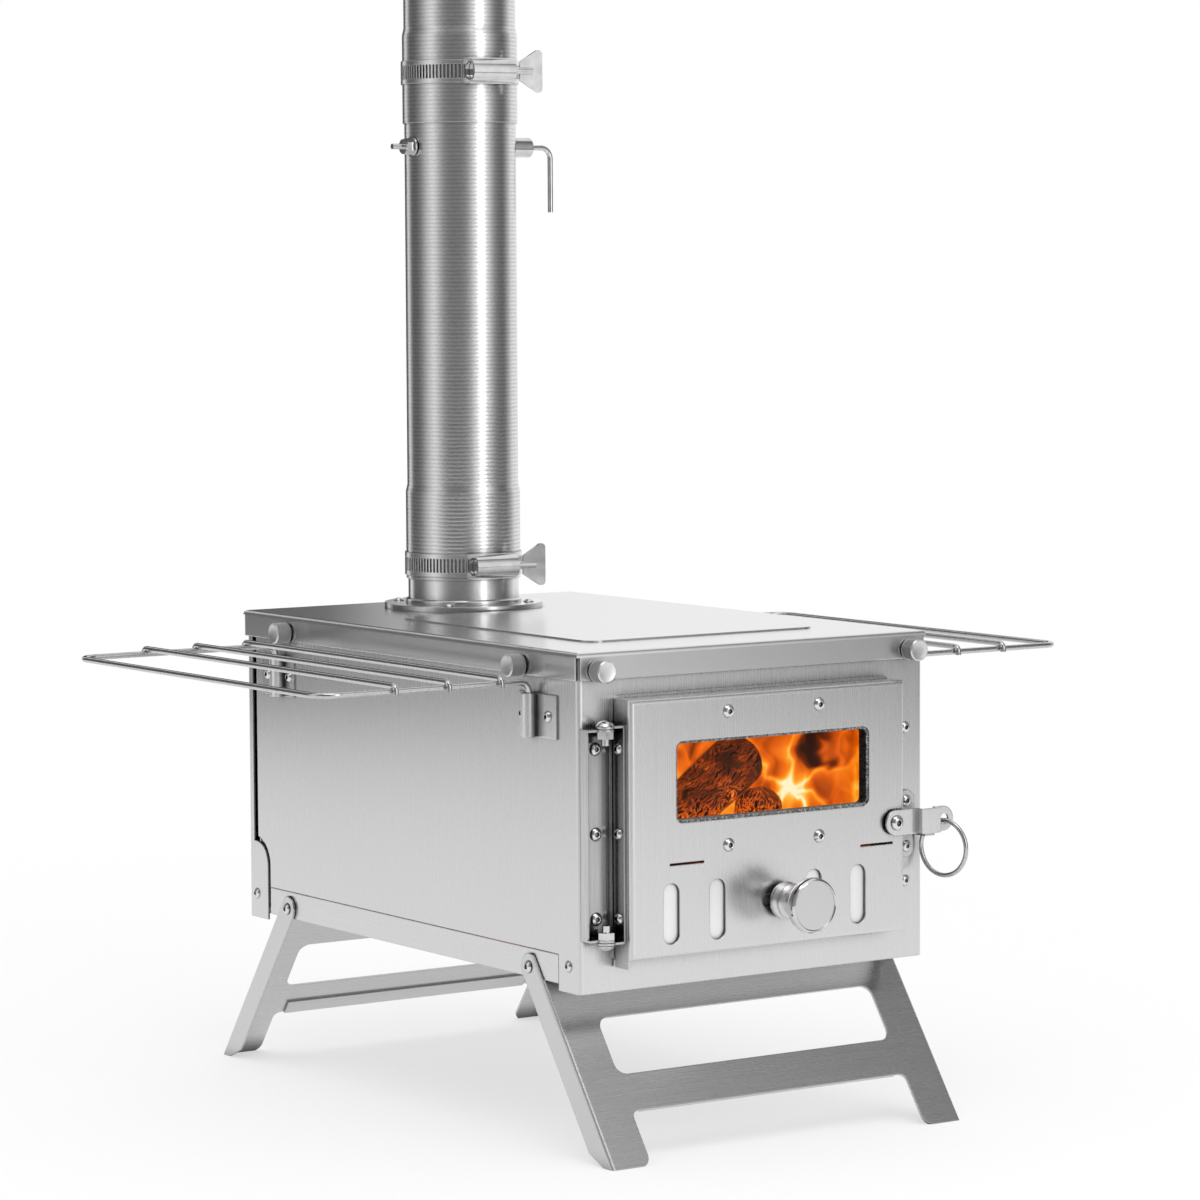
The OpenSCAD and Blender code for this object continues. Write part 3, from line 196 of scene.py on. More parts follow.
mixed = floor_paint.node("ShaderNodeMixShader", {}, {"Fac": seen * far_out, 1: lit, 2: paper}, "Shader")
join(floor_paint.tree.nodes["Material Output"].inputs["Surface"], mixed)
floor_mesh.materials.append(floor_paint.material)

world = bpy.data.worlds.new("studio")
bpy.context.scene.world = world
world.use_nodes = True
world.node_tree.nodes["Background"].inputs["Color"].default_value = white
world.node_tree.nodes["Background"].inputs["Strength"].default_value = full


def around(angle, distance, height):
    """A place round the stove: angle is degrees to the right of the camera, as seen from it."""
    turn = view_azimuth + math.radians(angle)
    return Vector((math.sin(turn) * distance, box_middle_y - math.cos(turn) * distance, height))


def lamp(name, place, aim, width, height, watts):
    light = bpy.data.lights.new(name, "AREA")
    light.shape, light.size, light.size_y, light.energy = "RECTANGLE", width, height, watts
    made = placed(name, light)
    made.matrix_world = (Matrix.Translation(place)
                         @ (Vector(aim) - Vector(place)).to_track_quat("-Z", "Y").to_matrix().to_4x4())
    made.visible_camera = False


def wall(name, distance, low, high, shades):
    """A grey wall bent round the stove, shaded by angle. Only reflections show it."""
    mesh = bpy.data.meshes.new(name)
    mesh.from_pydata([around(turn, distance, height) for turn, _ in shades for height in (low, high)], [],
                     [(2 * i, 2 * i + 2, 2 * i + 3, 2 * i + 1) for i in range(len(shades) - 1)])
    mesh.attributes.new("grey", "FLOAT", "POINT").data.foreach_set(
        "value", [shade for _, shade in shades for _ in (low, high)])
    made = placed(name, mesh)
    paint = Finish(name + "_paint")
    paint.set(Base_Color=paint.ramp(paint.stored("grey"), [(0.0, 0.0), (1.0, 1.0)]), Roughness=1.0)
    mesh.materials.append(paint.material)
    made.visible_camera = made.visible_shadow = made.visible_diffuse = made.visible_transmission = False


lamp("top_lamp", (-0.6, -1.2, 2.4), aim=(0, 0, 0.2), width=1.6, height=1.6, watts=14)
lamp("strip_lamp", around(45, 1.7, 0.75), aim=(0, 0.1, 0.6), width=0.4, height=1.3, watts=3.2)
wall("left_wall", distance=1.1, low=0.095, high=2.2, shades=[
    (-138, 0.95), (-124, 0.12), (-104, 0.12), (-91, 0.26), (-80, 0.55), (-66, 0.9)])
wall("camera_wall", distance=1.5, low=0.05, high=2.4, shades=[
    (-60, 0.95), (-49, 0.58), (-40, 0.34), (-30, 0.22), (-13, 0.19), (4, 0.22), (13, 0.3), (22, 0.55),
    (29, 0.95)])
wall("right_wall", distance=1.1, low=0.13, high=2.2, shades=[
    (60, 0.95), (69, 0.55), (80, 0.26), (92, 0.16), (105, 0.14), (120, 0.5), (134, 0.95)])
wall("low_wall", distance=1.0, low=0.1, high=0.25, shades=[
    (46, 0.9), (55, 0.5), (66, 0.26), (80, 0.18), (100, 0.3)])
wall("back_wall", distance=1.0, low=0.16, high=1.1, shades=[(183, 0.9), (191, 0.08), (216, 0.05)])


# Firebox sheets
# The wrap, rear panel, base pan, lid, door and legs are thin stainless sheet, brushed in one
# direction before they were cut and folded, so fine lines run up the panels and along the legs.

fine, coarse, cloud_scale = 3600, 9, 7.0
line_share, cloud_share, ring_share, rough_change = 0.3, 0.1, 0.6, 0.05
edge_round, groove_deep = 0.0008, 0.0004
# Below gap_open the ambient occlusion fades the colour towards the grey of a gap: painted shade.
gap_shut, gap_open, painted_gap_shade = 0.12, 0.8, 0.02
dark_at, light_at = 0.72, 0.88


def wear(names, finish):
    for name in names:
        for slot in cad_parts[name].material_slots:
            slot.material = finish.material


def brushed(name, across, light=0.7, dark=0.66, rough=0.27, depth=0.006, near=0.012, ripple=0):
    """Stainless sheet whose lines are fine in the directions where across is large. Its edges are
    slightly rounded, its colour is darkened as painted shade where it comes within near of another
    sheet, and ripple is the pitch of the rings that rolling leaves."""
    finish = Finish(name)
    place = finish.position()
    lines = finish.noise(finish.stretched(place, across), 1.0, 3.0)
    cloud = finish.noise(place, cloud_scale, 3.0)
    if ripple:
        rings = finish.node("ShaderNodeTexWave", {"wave_type": "BANDS", "bands_direction": "Z"}, {
            "Vector": place, "Scale": math.pi / 10 / ripple, "Distortion": 2.5, "Detail": 3.0,
            "Detail Scale": 4.0}, "Fac")
        lines = lines * (1 - ring_share) + rings * ring_share
    # Painted shade: ambient occlusion darkens the colour where the sheet nearly meets another.
    open_air = finish.node("ShaderNodeAmbientOcclusion", {"samples": 6}, {"Distance": near}, "AO")
    clear = finish.fade(open_air, gap_shut, gap_open)
    tone = lines * line_share + cloud * cloud_share + (1 - line_share - cloud_share)
    edge = finish.node("ShaderNodeBevel", {"samples": 3}, {"Radius": edge_round})
    bump = finish.node("ShaderNodeBump", {}, {
        "Height": lines, "Strength": depth, "Distance": groove_deep, "Normal": edge})
    return finish.set(
        Base_Color=finish.ramp(clear * tone, [(0.0, painted_gap_shade), (dark_at, dark), (light_at, light)]),
        Roughness=lines * rough_change + (rough - rough_change / 2), Metallic=1.0, Normal=bump)


wear(["wrap_panel", "rear_panel", "front_stiffener", "door_pan"],
     brushed("upright_brushed_steel", (fine, fine, coarse)))
wear(["base_pan"], brushed("pan_brushed_steel", (coarse, coarse, fine)))
# The lid takes a lighter copy of the sheet steel, painted light for the brighter light on the lid.
wear(["lid"], brushed("lid_brushed_steel", (fine, coarse, fine), light=0.78, dark=0.74, rough=0.24))
wear(["front_legs", "rear_legs"],
     brushed("leg_brushed_steel", (coarse, fine, fine), light=0.66, dark=0.58, depth=0.03))
wear(["air_slide"], brushed("bright_slide_steel", (fine, fine, coarse), light=0.95, dark=0.9, rough=0.5))


# Flue
# The collar, pipes and arrestor are rolled from thinner stainless, and the rolls leave fine rings
# all the way round. The pipes plug into one another, socket over plain end.

pipe_lines, collar_lines, ring_pitch = (5, 5, 820), (300, 300, 300), 0.0021
wear(["damper_pipe", "upper_pipe", "spark_arrestor", "guy_tabs"],
     brushed("ringed_pipe_steel", pipe_lines, light=0.72, dark=0.58, rough=0.21, depth=0.12,
             ripple=ring_pitch))
wear(["flue_collar"],
     brushed("collar_steel", collar_lines, light=0.74, dark=0.68, rough=0.18, depth=0.02))


# Strip fittings
# Hinge leaves, brackets, latch and clamp bands are cut from bright strip and folded. The clamp
# bands are pressed through with close slots for their worms.

strip_lines = (900, 900, 40)
wear(["latch_arm", "latch_keeper", "bracket_left_front", "bracket_left_rear", "bracket_right_front",
      "bracket_right_rear", "clamp_band_lower", "clamp_band_middle", "clamp_band_upper"],
     brushed("bright_strip", strip_lines, light=0.74, dark=0.66, rough=0.22, depth=0.02, near=0.024))
# The hinge leaves take a darker copy of the strip, painted shade for the shade round the hinge, and a longer
# reach of painted gap shade.
wear(["hinge_leaf_body", "hinge_leaf_door"],
     brushed("hinge_strip", strip_lines, light=0.6, dark=0.5, rough=0.2, depth=0.02, near=0.03))


# Polished fittings
# Racks and ring are bent from drawn wire. Nuts, rods, worm housings and keys are turned or pressed
# and polished, so they show the room as sharp light and dark bands.

smear_scale, drawn_scale, smear_rough = 160.0, 700.0, 0.12
polish_rough, wire_rough = 0.05, 0.1

polish = Finish("polished_steel")
smear = polish.noise(polish.position(), smear_scale, 3.0)
polish.set(Base_Color=polish.ramp(smear, [(0.3, 0.58), (0.7, 0.7)]),
           Roughness=smear * smear_rough + polish_rough, Metallic=1.0)
wear(["lid_nuts", "hinge_bolts", "hinge_nuts", "window_nuts", "damper_bush", "damper_rod",
      "damper_nut", "clamp_key_lower", "clamp_key_middle", "clamp_key_upper", "clamp_housing_lower",
      "clamp_housing_middle", "clamp_housing_upper"], polish)

wire = Finish("drawn_wire_steel")
drawn = wire.noise(wire.position(), drawn_scale, 3.0)
wire.set(Base_Color=wire.ramp(drawn, [(0.3, 0.48), (0.7, 0.6)]),
         Roughness=drawn * smear_rough + wire_rough, Metallic=1.0)
wear(["left_rack", "right_rack", "pull_ring"], wire)


# Screws and rivets
# Button head screws with a hexagon socket hold the hinge, window, latch and brackets. Pulled rivets
# with a hollow middle hold the sheets and legs. Each kind is turned once and set at every hole.
# Their colour is darkened with painted shade in the sockets and holes and round the rim of each head.

merge_gap, loose_turn, crease, shade_per_groove_depth = 1e-6, 6.28, 32, 1500


def solids(name):
    """The low and high corner of each separate solid in a CAD node, in a fixed order."""
    copy = bmesh.new()
    copy.from_mesh(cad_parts[name].data)
    bmesh.ops.remove_doubles(copy, verts=copy.verts, dist=merge_gap)
    found, waiting = [], set(copy.verts)
    while waiting:
        edge, points = [waiting.pop()], []
        while edge:
            vertex = edge.pop()
            points.append(vertex.co.copy())
            for beside in (link.other_vert(vertex) for link in vertex.link_edges):
                if beside in waiting:
                    waiting.remove(beside)
                    edge.append(beside)
        low = Vector([min(p[i] for p in points) for i in range(3)])
        high = Vector([max(p[i] for p in points) for i in range(3)])
        found.append((low, high))
    copy.free()
    return sorted(found, key=lambda pair: tuple(round(v, 5) for v in pair[0]))


def facing(low, high, middle):
    """The way a fastener points: along its odd dimension, away from the stove's middle."""
    size = high - low
    axis = min(range(3), key=lambda i: abs(size[(i + 1) % 3] - size[(i + 2) % 3]))
    way = Vector((0, 0, 0))
    way[axis] = 1 if (low + high)[axis] / 2 > middle[axis] else -1
    return way, axis


def turned_form(name, rings, flats=(), sides=24, knurl=None, knurled=()):
    """A closed turned shape. Rings are radius, height and a mark of painted shade, which darkens the
    colour there. Rings whose number is in flats are hexagons, and knurl deepens those whose number is
    in knurled and adds painted shade in its grooves."""
    points, marks, faces = [], [], []
    for number, (radius, height, mark) in enumerate(rings):
        for i in range(sides):
            angle = 2 * math.pi * i / sides
            reach = radius
            if number in flats:
                reach = radius / math.cos((angle % (math.pi / 3)) - math.pi / 6) * math.cos(math.pi / 6)
            groove = knurl(angle, height) if number in knurled else 0
            reach -= groove
            points.append((reach * math.cos(angle), reach * math.sin(angle), height))
            # Deeper knurl grooves carry more painted shade.
            marks.append(mark + groove * shade_per_groove_depth)
    for low in range(0, (len(rings) - 1) * sides, sides):
        high = low + sides
        for i in range(sides):
            j = (i + 1) % sides
            faces.append((low + i, low + j, high + j, high + i))
    faces.append(tuple(range(sides - 1, -1, -1)))
    faces.append(tuple((len(rings) - 1) * sides + i for i in range(sides)))
    mesh = bpy.data.meshes.new(name)
    mesh.from_pydata(points, [], faces)
    mesh.attributes.new("sunk", "FLOAT", "POINT").data.foreach_set("value", marks)
    return bpy.data.objects.new(name, mesh)


def spread_tree():
    """Sets one form at every point, turned to face the point's way."""
    tree = bpy.data.node_groups.new("set_in_holes", "GeometryNodeTree")
    for label, kind in (("Holes", "NodeSocketGeometry"), ("Form", "NodeSocketObject"),
                        ("Finish", "NodeSocketMaterial"), ("Loose Turn", "NodeSocketFloat"),
                        ("Seed", "NodeSocketInt")):
        tree.interface.new_socket(label, in_out="INPUT", socket_type=kind)
    tree.interface.new_socket("Set", in_out="OUTPUT", socket_type="NodeSocketGeometry")

    def add(kind, **settings):
        node = tree.nodes.new(kind)
        for key, value in settings.items():
            setattr(node, key, value)
        return node

    given, result = add("NodeGroupInput"), add("NodeGroupOutput")
    form = add("GeometryNodeObjectInfo")
    way = add("GeometryNodeInputNamedAttribute", data_type="FLOAT_VECTOR")
    way.inputs["Name"].default_value = "way"
    align = add("FunctionNodeAlignRotationToVector", axis="Z")
    chance_turn = add("FunctionNodeRandomValue", data_type="FLOAT")
    about_axis = add("ShaderNodeCombineXYZ")
    spin = add("FunctionNodeRotateRotation", rotation_space="LOCAL")
    place = add("GeometryNodeInstanceOnPoints")
    real, paint = add("GeometryNodeRealizeInstances"), add("GeometryNodeSetMaterial")
    asked = {socket.name: socket for socket in given.outputs if socket.name}
    link = tree.links.new
    link(asked["Form"], form.inputs["Object"])
    link(way.outputs["Attribute"], align.inputs["Vector"])
    link(asked["Loose Turn"], chance_turn.inputs[3])
    link(asked["Seed"], chance_turn.inputs["Seed"])
    link(chance_turn.outputs[1], about_axis.inputs["Z"])
    link(align.outputs["Rotation"], spin.inputs["Rotation"])
    link(about_axis.outputs["Vector"], spin.inputs["Rotate By"])
    link(asked["Holes"], place.inputs["Points"])
    link(form.outputs["Geometry"], place.inputs["Instance"])
    link(spin.outputs["Rotation"], place.inputs["Rotation"])
    link(place.outputs["Instances"], real.inputs["Geometry"])
    link(real.outputs["Geometry"], paint.inputs["Geometry"])
    link(asked["Finish"], paint.inputs["Material"])
    link(paint.outputs["Geometry"], result.inputs["Set"])
    return tree


holes_tree = spread_tree()


def set_in_holes(name, holes, form, finish, body, node, seed):
    """Makes one piece from a form at each hole, and lets it stand for a CAD node."""
    mesh = bpy.data.meshes.new(name)
    mesh.from_pydata([place for place, _ in holes], [], [])
    mesh.attributes.new("way", "FLOAT_VECTOR", "POINT").data.foreach_set(
        "vector", [v for _, way in holes for v in way])
    made = placed(name, mesh)
    modifier = made.modifiers.new("holes", "NODES")
    modifier.node_group = holes_tree
    values = {"Form": form, "Finish": finish.material, "Loose Turn": loose_turn, "Seed": seed}
    for item in holes_tree.interface.items_tree:
        if item.in_out == "INPUT" and item.name in values:
            modifier[item.identifier] = values[item.name]
    bpy.context.view_layer.update()
    solid = bpy.data.meshes.new_from_object(made.evaluated_get(bpy.context.evaluated_depsgraph_get()))
    made.modifiers.remove(modifier)
    made.data = solid
    solid.materials.clear()
    solid.materials.append(finish.material)
    for face in solid.polygons:
        face.use_smooth, face.material_index = True, 0
    solid.set_sharp_from_angle(angle=math.radians(crease))
    bpy.data.objects.remove(form)
    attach(made, body)
    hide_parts(node)


def dome_height(radius, head_r, head_h):
    ball = (head_r ** 2 + head_h ** 2) / (2 * head_h)
    return math.sqrt(ball ** 2 - radius ** 2) - (ball - head_h)


def dome(head_r, head_h, shares):
    """The rings of a round head from its rim upwards, each a share of its radius and a mark."""
    return [(head_r * share, dome_height(head_r * share, head_r, head_h), mark) for share, mark in shares]


grain_scale, grain_shade, grain_rough, screw_rough = 900.0, 0.08, 0.15, 0.1
# Marks of painted shade darken the screw steel towards near black; the grain is the steel's own tone.
screw_steel = Finish("screw_steel")
sunk = screw_steel.stored("sunk")
grain = screw_steel.noise(screw_steel.position(), grain_scale, 3.0)
screw_steel.set(Base_Color=screw_steel.ramp(sunk + (grain - 0.5) * grain_shade, [
    (0.0, 0.74), (0.45, 0.3), (1.0, 0.02)]),
                Roughness=grain * grain_rough + screw_rough, Metallic=1.0)

# The top is flat inside this share of the head's radius, and the rest are depths below it.
screw_flat, mouth_cut, wall_foot, socket_foot = 0.5, 0.0001, 0.0013, 0.0016
rivet_flat, pin_foot, pin_tip = 0.48, 0.0007, 0.0003


def button_head(name, head_r, head_h, shank_r, shank_l, socket_r, spacer=None):
    """A domed head with a hexagon socket, over a plain shank. The seat is at height zero."""
    rings = [(shank_r, -shank_l, 0)]
    if spacer:
        spacer_r, low, high = spacer
        rings += [(shank_r, low, 0), (spacer_r, low, 0), (spacer_r, high, 0), (shank_r, high, 0)]
    # The seat ring and the dome's outer rings carry painted shade, a shadow round the head's rim.
    rings += [(shank_r, 0, 0), (head_r, 0, 0.6)]
    rings += dome(head_r, head_h, ((0.97, 0.4), (0.9, 0.15), (0.8, 0), (0.7, 0), (0.6, 0)))
    top = dome_height(head_r * screw_flat, head_r, head_h)
    # The socket's mouth, walls and floor carry painted shade.
    rings += [(socket_r * 1.12, top, 0), (socket_r, top - mouth_cut, 0.3),
              (socket_r * 0.98, top - wall_foot, 1.0), (socket_r * 0.3, top - socket_foot, 0.7)]
    count = len(rings)
    return turned_form(name, rings, flats=(count - 3, count - 2))


def rivet_head(name, head_r, head_h, shank_r, shank_l, hole_r):
    """A low dome with a hollow middle, where the pulled pin broke off, with painted shade in the hole
    and round the rim.
    """
    # The seat ring, the dome's rim and the pin hole carry painted shade.
    rings = [(shank_r, -shank_l, 0), (shank_r, 0, 0), (head_r, 0, 0.6)]
    rings += dome(head_r, head_h, ((0.96, 0.4), (0.88, 0.15), (0.75, 0), (0.6, 0), (rivet_flat, 0.1)))
    top = dome_height(head_r * rivet_flat, head_r, head_h)
    rings += [(hole_r, top, 0.2), (hole_r * 0.9, top - pin_foot, 1.0), (hole_r * 0.5, top - pin_foot, 0.9),
              (hole_r * 0.3, top - pin_tip, 0.5)]
    return turned_form(name, rings)


stove_middle = Vector((0, box_middle_y, (wrap_low.z + wrap_high.z) / 2))


def fasten(name, node, body, kind, head_h, shank_r, hole_r, seed, finish=screw_steel, spacer=None):
    """Sets one kind of fastener over each solid of a CAD node, with its head as wide and as far out."""
    holes = []
    for low, high in solids(node):
        way, axis = facing(low, high, stove_middle)
        tip = max(low.dot(way), high.dot(way))
        length = (high - low)[axis]
        head_r = (high - low)[(axis + 1) % 3] / 2
        middle = (low + high) / 2
        holes.append((middle + way * (tip - head_h - middle.dot(way)), way))
    args = (name + "_form", head_r, head_h, shank_r, length - head_h, hole_r)
    form = kind(*args, spacer) if spacer else kind(*args)
    set_in_holes(name, holes, form, finish, body, node, seed)


screw_h, screw_shank, socket, small_socket, pivot_socket = 0.0022, 0.0018, 0.00135, 0.0012, 0.0016
rivet_h, rivet_shank, rivet_hole, leg_shank, leg_hole = 0.0017, 0.0016, 0.001, 0.002, 0.0012
pivot_spacer = (0.0034, -0.0031, -0.0018)  # its radius, and its low and high end under the head

for name, node, body, socket_r, spacer, seed in (
        ("window_socket_screws", "window_screws", "door", socket, None, 3),
        ("hinge_socket_screws", "hinge_screws_body", "body", socket, None, 4),
        ("leaf_socket_screws", "hinge_screws_door", "door", small_socket, None, 5),
        ("bracket_socket_screws", "bracket_screws", "body", small_socket, None, 6),
        ("latch_pivot_screw", "latch_screw", "door", pivot_socket, pivot_spacer, 7)):
    fasten(name, node, body, button_head, screw_h, screw_shank, socket_r, seed, spacer=spacer)
for name, node, shank_r, hole_r, seed in (
        ("pulled_rivets", "body_rivets", rivet_shank, rivet_hole, 8),
        ("collar_pulled_rivets", "collar_rivets", rivet_shank, rivet_hole, 9),
        ("leg_pulled_rivets", "leg_rivets", leg_shank, leg_hole, 10)):
    fasten(name, node, "body", rivet_head, rivet_h, shank_r, hole_r, seed)


# Thumb screws
# Turned stainless knobs on a short neck, with a fine crossed knurl round the rim, hold the lid to
# the firebox so that it comes off without a tool.

knurl_count, knurl_depth, knurl_rise, knurl_rows = 28, 0.0004, 4700, 26
neck_r, neck_l, edge_cut = 0.003, 0.0008, 0.00057
thumb_h, thumb_shank, dish_r, thumb_seed = 0.0094, 0.002, 0.0044, 11
dish_slope, dish_depth, dish_middle = 0.0003, 0.0001, 0.0006
faint_scale, faint_shade, faint_rough, thumb_rough = 1400.0, 0.1, 0.1, 0.3


def crossed(angle, height):
    one = math.cos((knurl_count * angle + knurl_rise * height) / 2)
    other = math.cos((knurl_count * angle - knurl_rise * height) / 2)
    return knurl_depth * (1 - abs(one) * abs(other))


def knurled_knob(name, head_r, head_h, shank_r, shank_l, dish_r):
    """A cylinder on a neck, with cut edges, a knurled rim and a shallow dish in its top."""
    low, high = neck_l + edge_cut, head_h - edge_cut
    rings = [(shank_r, -shank_l, 0), (shank_r, 0, 0), (neck_r, 0, 0), (neck_r, neck_l, 0),
             (head_r - edge_cut, neck_l, 0), (head_r, low, 0)]
    knurled = range(len(rings), len(rings) + knurl_rows)
    rings += [(head_r, low + (high - low) * (i + 0.5) / knurl_rows, 0) for i in range(knurl_rows)]
    rings += [(head_r, high, 0), (head_r - edge_cut, head_h, 0), (dish_r, head_h, 0),
              (dish_r - dish_slope, head_h - dish_depth, 0), (dish_middle, head_h - dish_depth, 0)]
    return turned_form(name, rings, sides=6 * knurl_count, knurl=crossed, knurled=knurled)


# The knurl's grooves are darkened with painted shade, the deeper the darker; the faint noise is the steel's
# own tone.
satin = Finish("satin_turned_steel")
faint = satin.noise(satin.position(), faint_scale, 3.0)
knurl_groove_shade = satin.stored("sunk")
satin.set(Base_Color=satin.ramp(knurl_groove_shade + faint * faint_shade, [(0.03, 0.74), (0.1, 0.66), (0.5, 0.16)]),
          Roughness=faint * faint_rough + thumb_rough, Metallic=1.0)
fasten("knurled_thumb_screws", "thumb_screws", "body", knurled_knob, thumb_h, thumb_shank, dish_r,
       thumb_seed, finish=satin)


# Air knob
# One turned piece screwed to the slide through the door: two beads on its neck, a polished rim and
# a satin face with fine circles from the lathe.

# The rim starts and ends at these shares of the knob's radius.
rim_start, rim_end, lathe_lines = 0.84, 0.88, 5200
face_rough, circle_rough, rim_rough = 0.2, 0.08, 0.05
knob_low, knob_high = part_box("air_knob")
knob_radius = (knob_high.x - knob_low.x) / 2

turned = Finish("turned_knob_steel")
centred = turned.stretched(turned.position(), (1, 0, 1), shift=(
    -(knob_low.x + knob_high.x) / 2, 0, -(knob_low.z + knob_high.z) / 2))
radius = turned.length(centred)
circles = turned.noise(turned.node("ShaderNodeCombineXYZ", {}, {"X": radius * lathe_lines}), 1.0, 2.0)
rim = turned.fade(radius, knob_radius * rim_start, knob_radius * rim_end)
turned.set(Base_Color=turned.ramp(circles, [(0.3, 0.6), (0.7, 0.68)]),
           Roughness=(1 - rim) * face_rough + circles * circle_rough + rim_rough, Metallic=1.0)
wear(["air_knob"], turned)


# Hidden steel
# The grate, the damper plate and the frame that holds the glass are plain stainless, dulled and
# browned by heat.

soot_scale, soot_detail, soot_rough, dull_rough = 60.0, 5.0, 0.3, 0.35
sooted, browned = (0.12, 0.11, 0.1), (0.34, 0.32, 0.3)

dull = Finish("heat_dulled_steel")
soot = dull.noise(dull.position(), soot_scale, soot_detail)
dull.set(Base_Color=dull.ramp(soot, [(0.3, sooted), (0.7, browned)]),
         Roughness=soot * soot_rough + dull_rough, Metallic=1.0)
wear(["fire_grate", "damper_plate", "glass_retainer"], dull)


# Window
# Ceramic glass lies against a woven glass fibre tape behind the cut-out, so a thin mottled grey
# line shows round the fire. The tape's inner side walls, which face sideways, are darkened as
# painted shade.

weave_scale, weave_deep, weave_share, side_shade_share = 800.0, 0.0005, 0.6, 0.6
glass_tint, glass_index = (1, 0.97, 0.93, 1), 1.12

tape = Finish("glass_fibre_tape")
weave = tape.node("ShaderNodeTexVoronoi", {}, {"Vector": tape.position(), "Scale": weave_scale}, "Distance")
# Painted shade: faces turned sideways are pushed to the dark end of the tape's colours.
side_wall_shade = abs(tape.along(tape.node("ShaderNodeTexCoord", out="Normal"), "X"))
tape.set(Base_Color=tape.ramp(weave * weave_share + side_wall_shade * side_shade_share, [
    (0.0, (0.55, 0.55, 0.54)), (0.25, (0.2, 0.2, 0.195)), (0.5, (0.06, 0.06, 0.058)), (1.0, 0.006)]),
         Roughness=0.95, Specular_IOR_Level=0.1,
         Normal=tape.node("ShaderNodeBump", {}, {"Height": weave, "Strength": 0.6, "Distance": weave_deep}))
wear(["window_gasket"], tape)

pane = Finish("ceramic_glass").set(Base_Color=glass_tint, Roughness=0.0, IOR=glass_index,
                                   Transmission_Weight=1.0)
wear(["window_glass"], pane)


# Fire
# Split logs lie across the grate and burn. Their bark is charred, with embers in the grain. One
# thin sheet of flame stands among the front logs, and one at the rear log.

_, grate_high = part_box("fire_grate")
bed = grate_high.z
log_seed, log_lumps, log_rings, log_sides = 7, 7, 44, 36
end_round, end_least, split_angle, split_depth = 0.8, 0.02, 0.9, 0.12
base_thick, rear_thick, top_thick, chunk_thick = 0.022, 0.021, 0.0135, 0.0112

# The glow starts above the lance slits, which stay dark, and shows again low through the air slots.
glow_low, glow_blend = 0.147, 0.006
slot_low, slot_high, slot_glow = bed + 0.016, bed + 0.026, 0.85
heat_low, heat_high, heat_ragged = 0.159, 0.185, 0.03
fibre_scale, fibre_push, streak_scale, patch_scale, char_deep = 60.0, 0.02, (520, 520, 130), 70.0, 0.0015
vein_sharp, vein_glow, patch_gain, patch_drop = 9, 0.66, 1.5, 0.1
streak_gain, streak_drop, streak_share = 1.7, 0.37, 0.6
chance = random.Random(log_seed)


def burning(name, points, faces, finish, grain=None):
    """A closed piece of the fire, which rides on the body."""
    mesh = bpy.data.meshes.new(name)
    mesh.from_pydata(points, [], faces)
    if grain:
        mesh.attributes.new("grain", "FLOAT_VECTOR", "POINT").data.foreach_set(
            "vector", [v for place in grain for v in place])
    sculpt = bmesh.new()
    sculpt.from_mesh(mesh)
    bmesh.ops.recalc_face_normals(sculpt, faces=sculpt.faces)
    sculpt.to_mesh(mesh)
    sculpt.free()
    for face in mesh.polygons:
        face.use_smooth = True
    mesh.materials.append(finish.material)
    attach(placed(name, mesh), "body")


def pushed_about(finish, vector, amount, **noise):
    """A place pushed about by coloured noise."""
    push = finish.node("ShaderNodeTexNoise", {}, {"Vector": vector, **noise}, "Color")
    return finish.node("ShaderNodeVectorMath", {"operation": "MULTIPLY_ADD"},
                       {0: push, 1: (amount,) * 3, 2: vector}, "Vector")


char = Finish("charred_wood")
fibre = char.stored("grain", "Vector")
bent = pushed_about(char, fibre, fibre_push, Scale=fibre_scale, Detail=2.0)
streaks = char.noise(char.stretched(bent, streak_scale), 1.0, 3.0)
veins = 1 - abs(streaks - 0.5) * vein_sharp
patches = char.noise(fibre, patch_scale, 2.0)
low_down = char.along(char.position(), "Z")
near_bed = char.fade(low_down + patches * heat_ragged, heat_low, heat_high, 1.0, 0.0)
above = char.fade(low_down, glow_low, glow_low + glow_blend)
below = char.fade(low_down, slot_low, slot_high, 1.0, 0.0)
ember = ((veins * (patches * patch_gain - patch_drop) * vein_glow
          + near_bed * (streaks * streak_gain - streak_drop)) * (above + below * slot_glow))
char.set(Base_Color=char.ramp(streaks * streak_share + patches * (1 - streak_share), [
    (0.38, (0.008, 0.004, 0.002)), (0.6, (0.07, 0.02, 0.007))]),
         Roughness=0.9, Specular_IOR_Level=0.1,
         Emission_Color=char.ramp(ember, [
             (0.0, (0.012, 0.003, 0.001)), (0.22, (0.06, 0.011, 0.002)), (0.4, (0.4, 0.05, 0.003)),
             (0.65, (1.0, 0.2, 0.01)), (1.0, (1.0, 0.5, 0.08))]),
         Emission_Strength=1.0,
         Normal=char.node("ShaderNodeBump", {}, {"Height": streaks, "Strength": 0.9, "Distance": char_deep}))


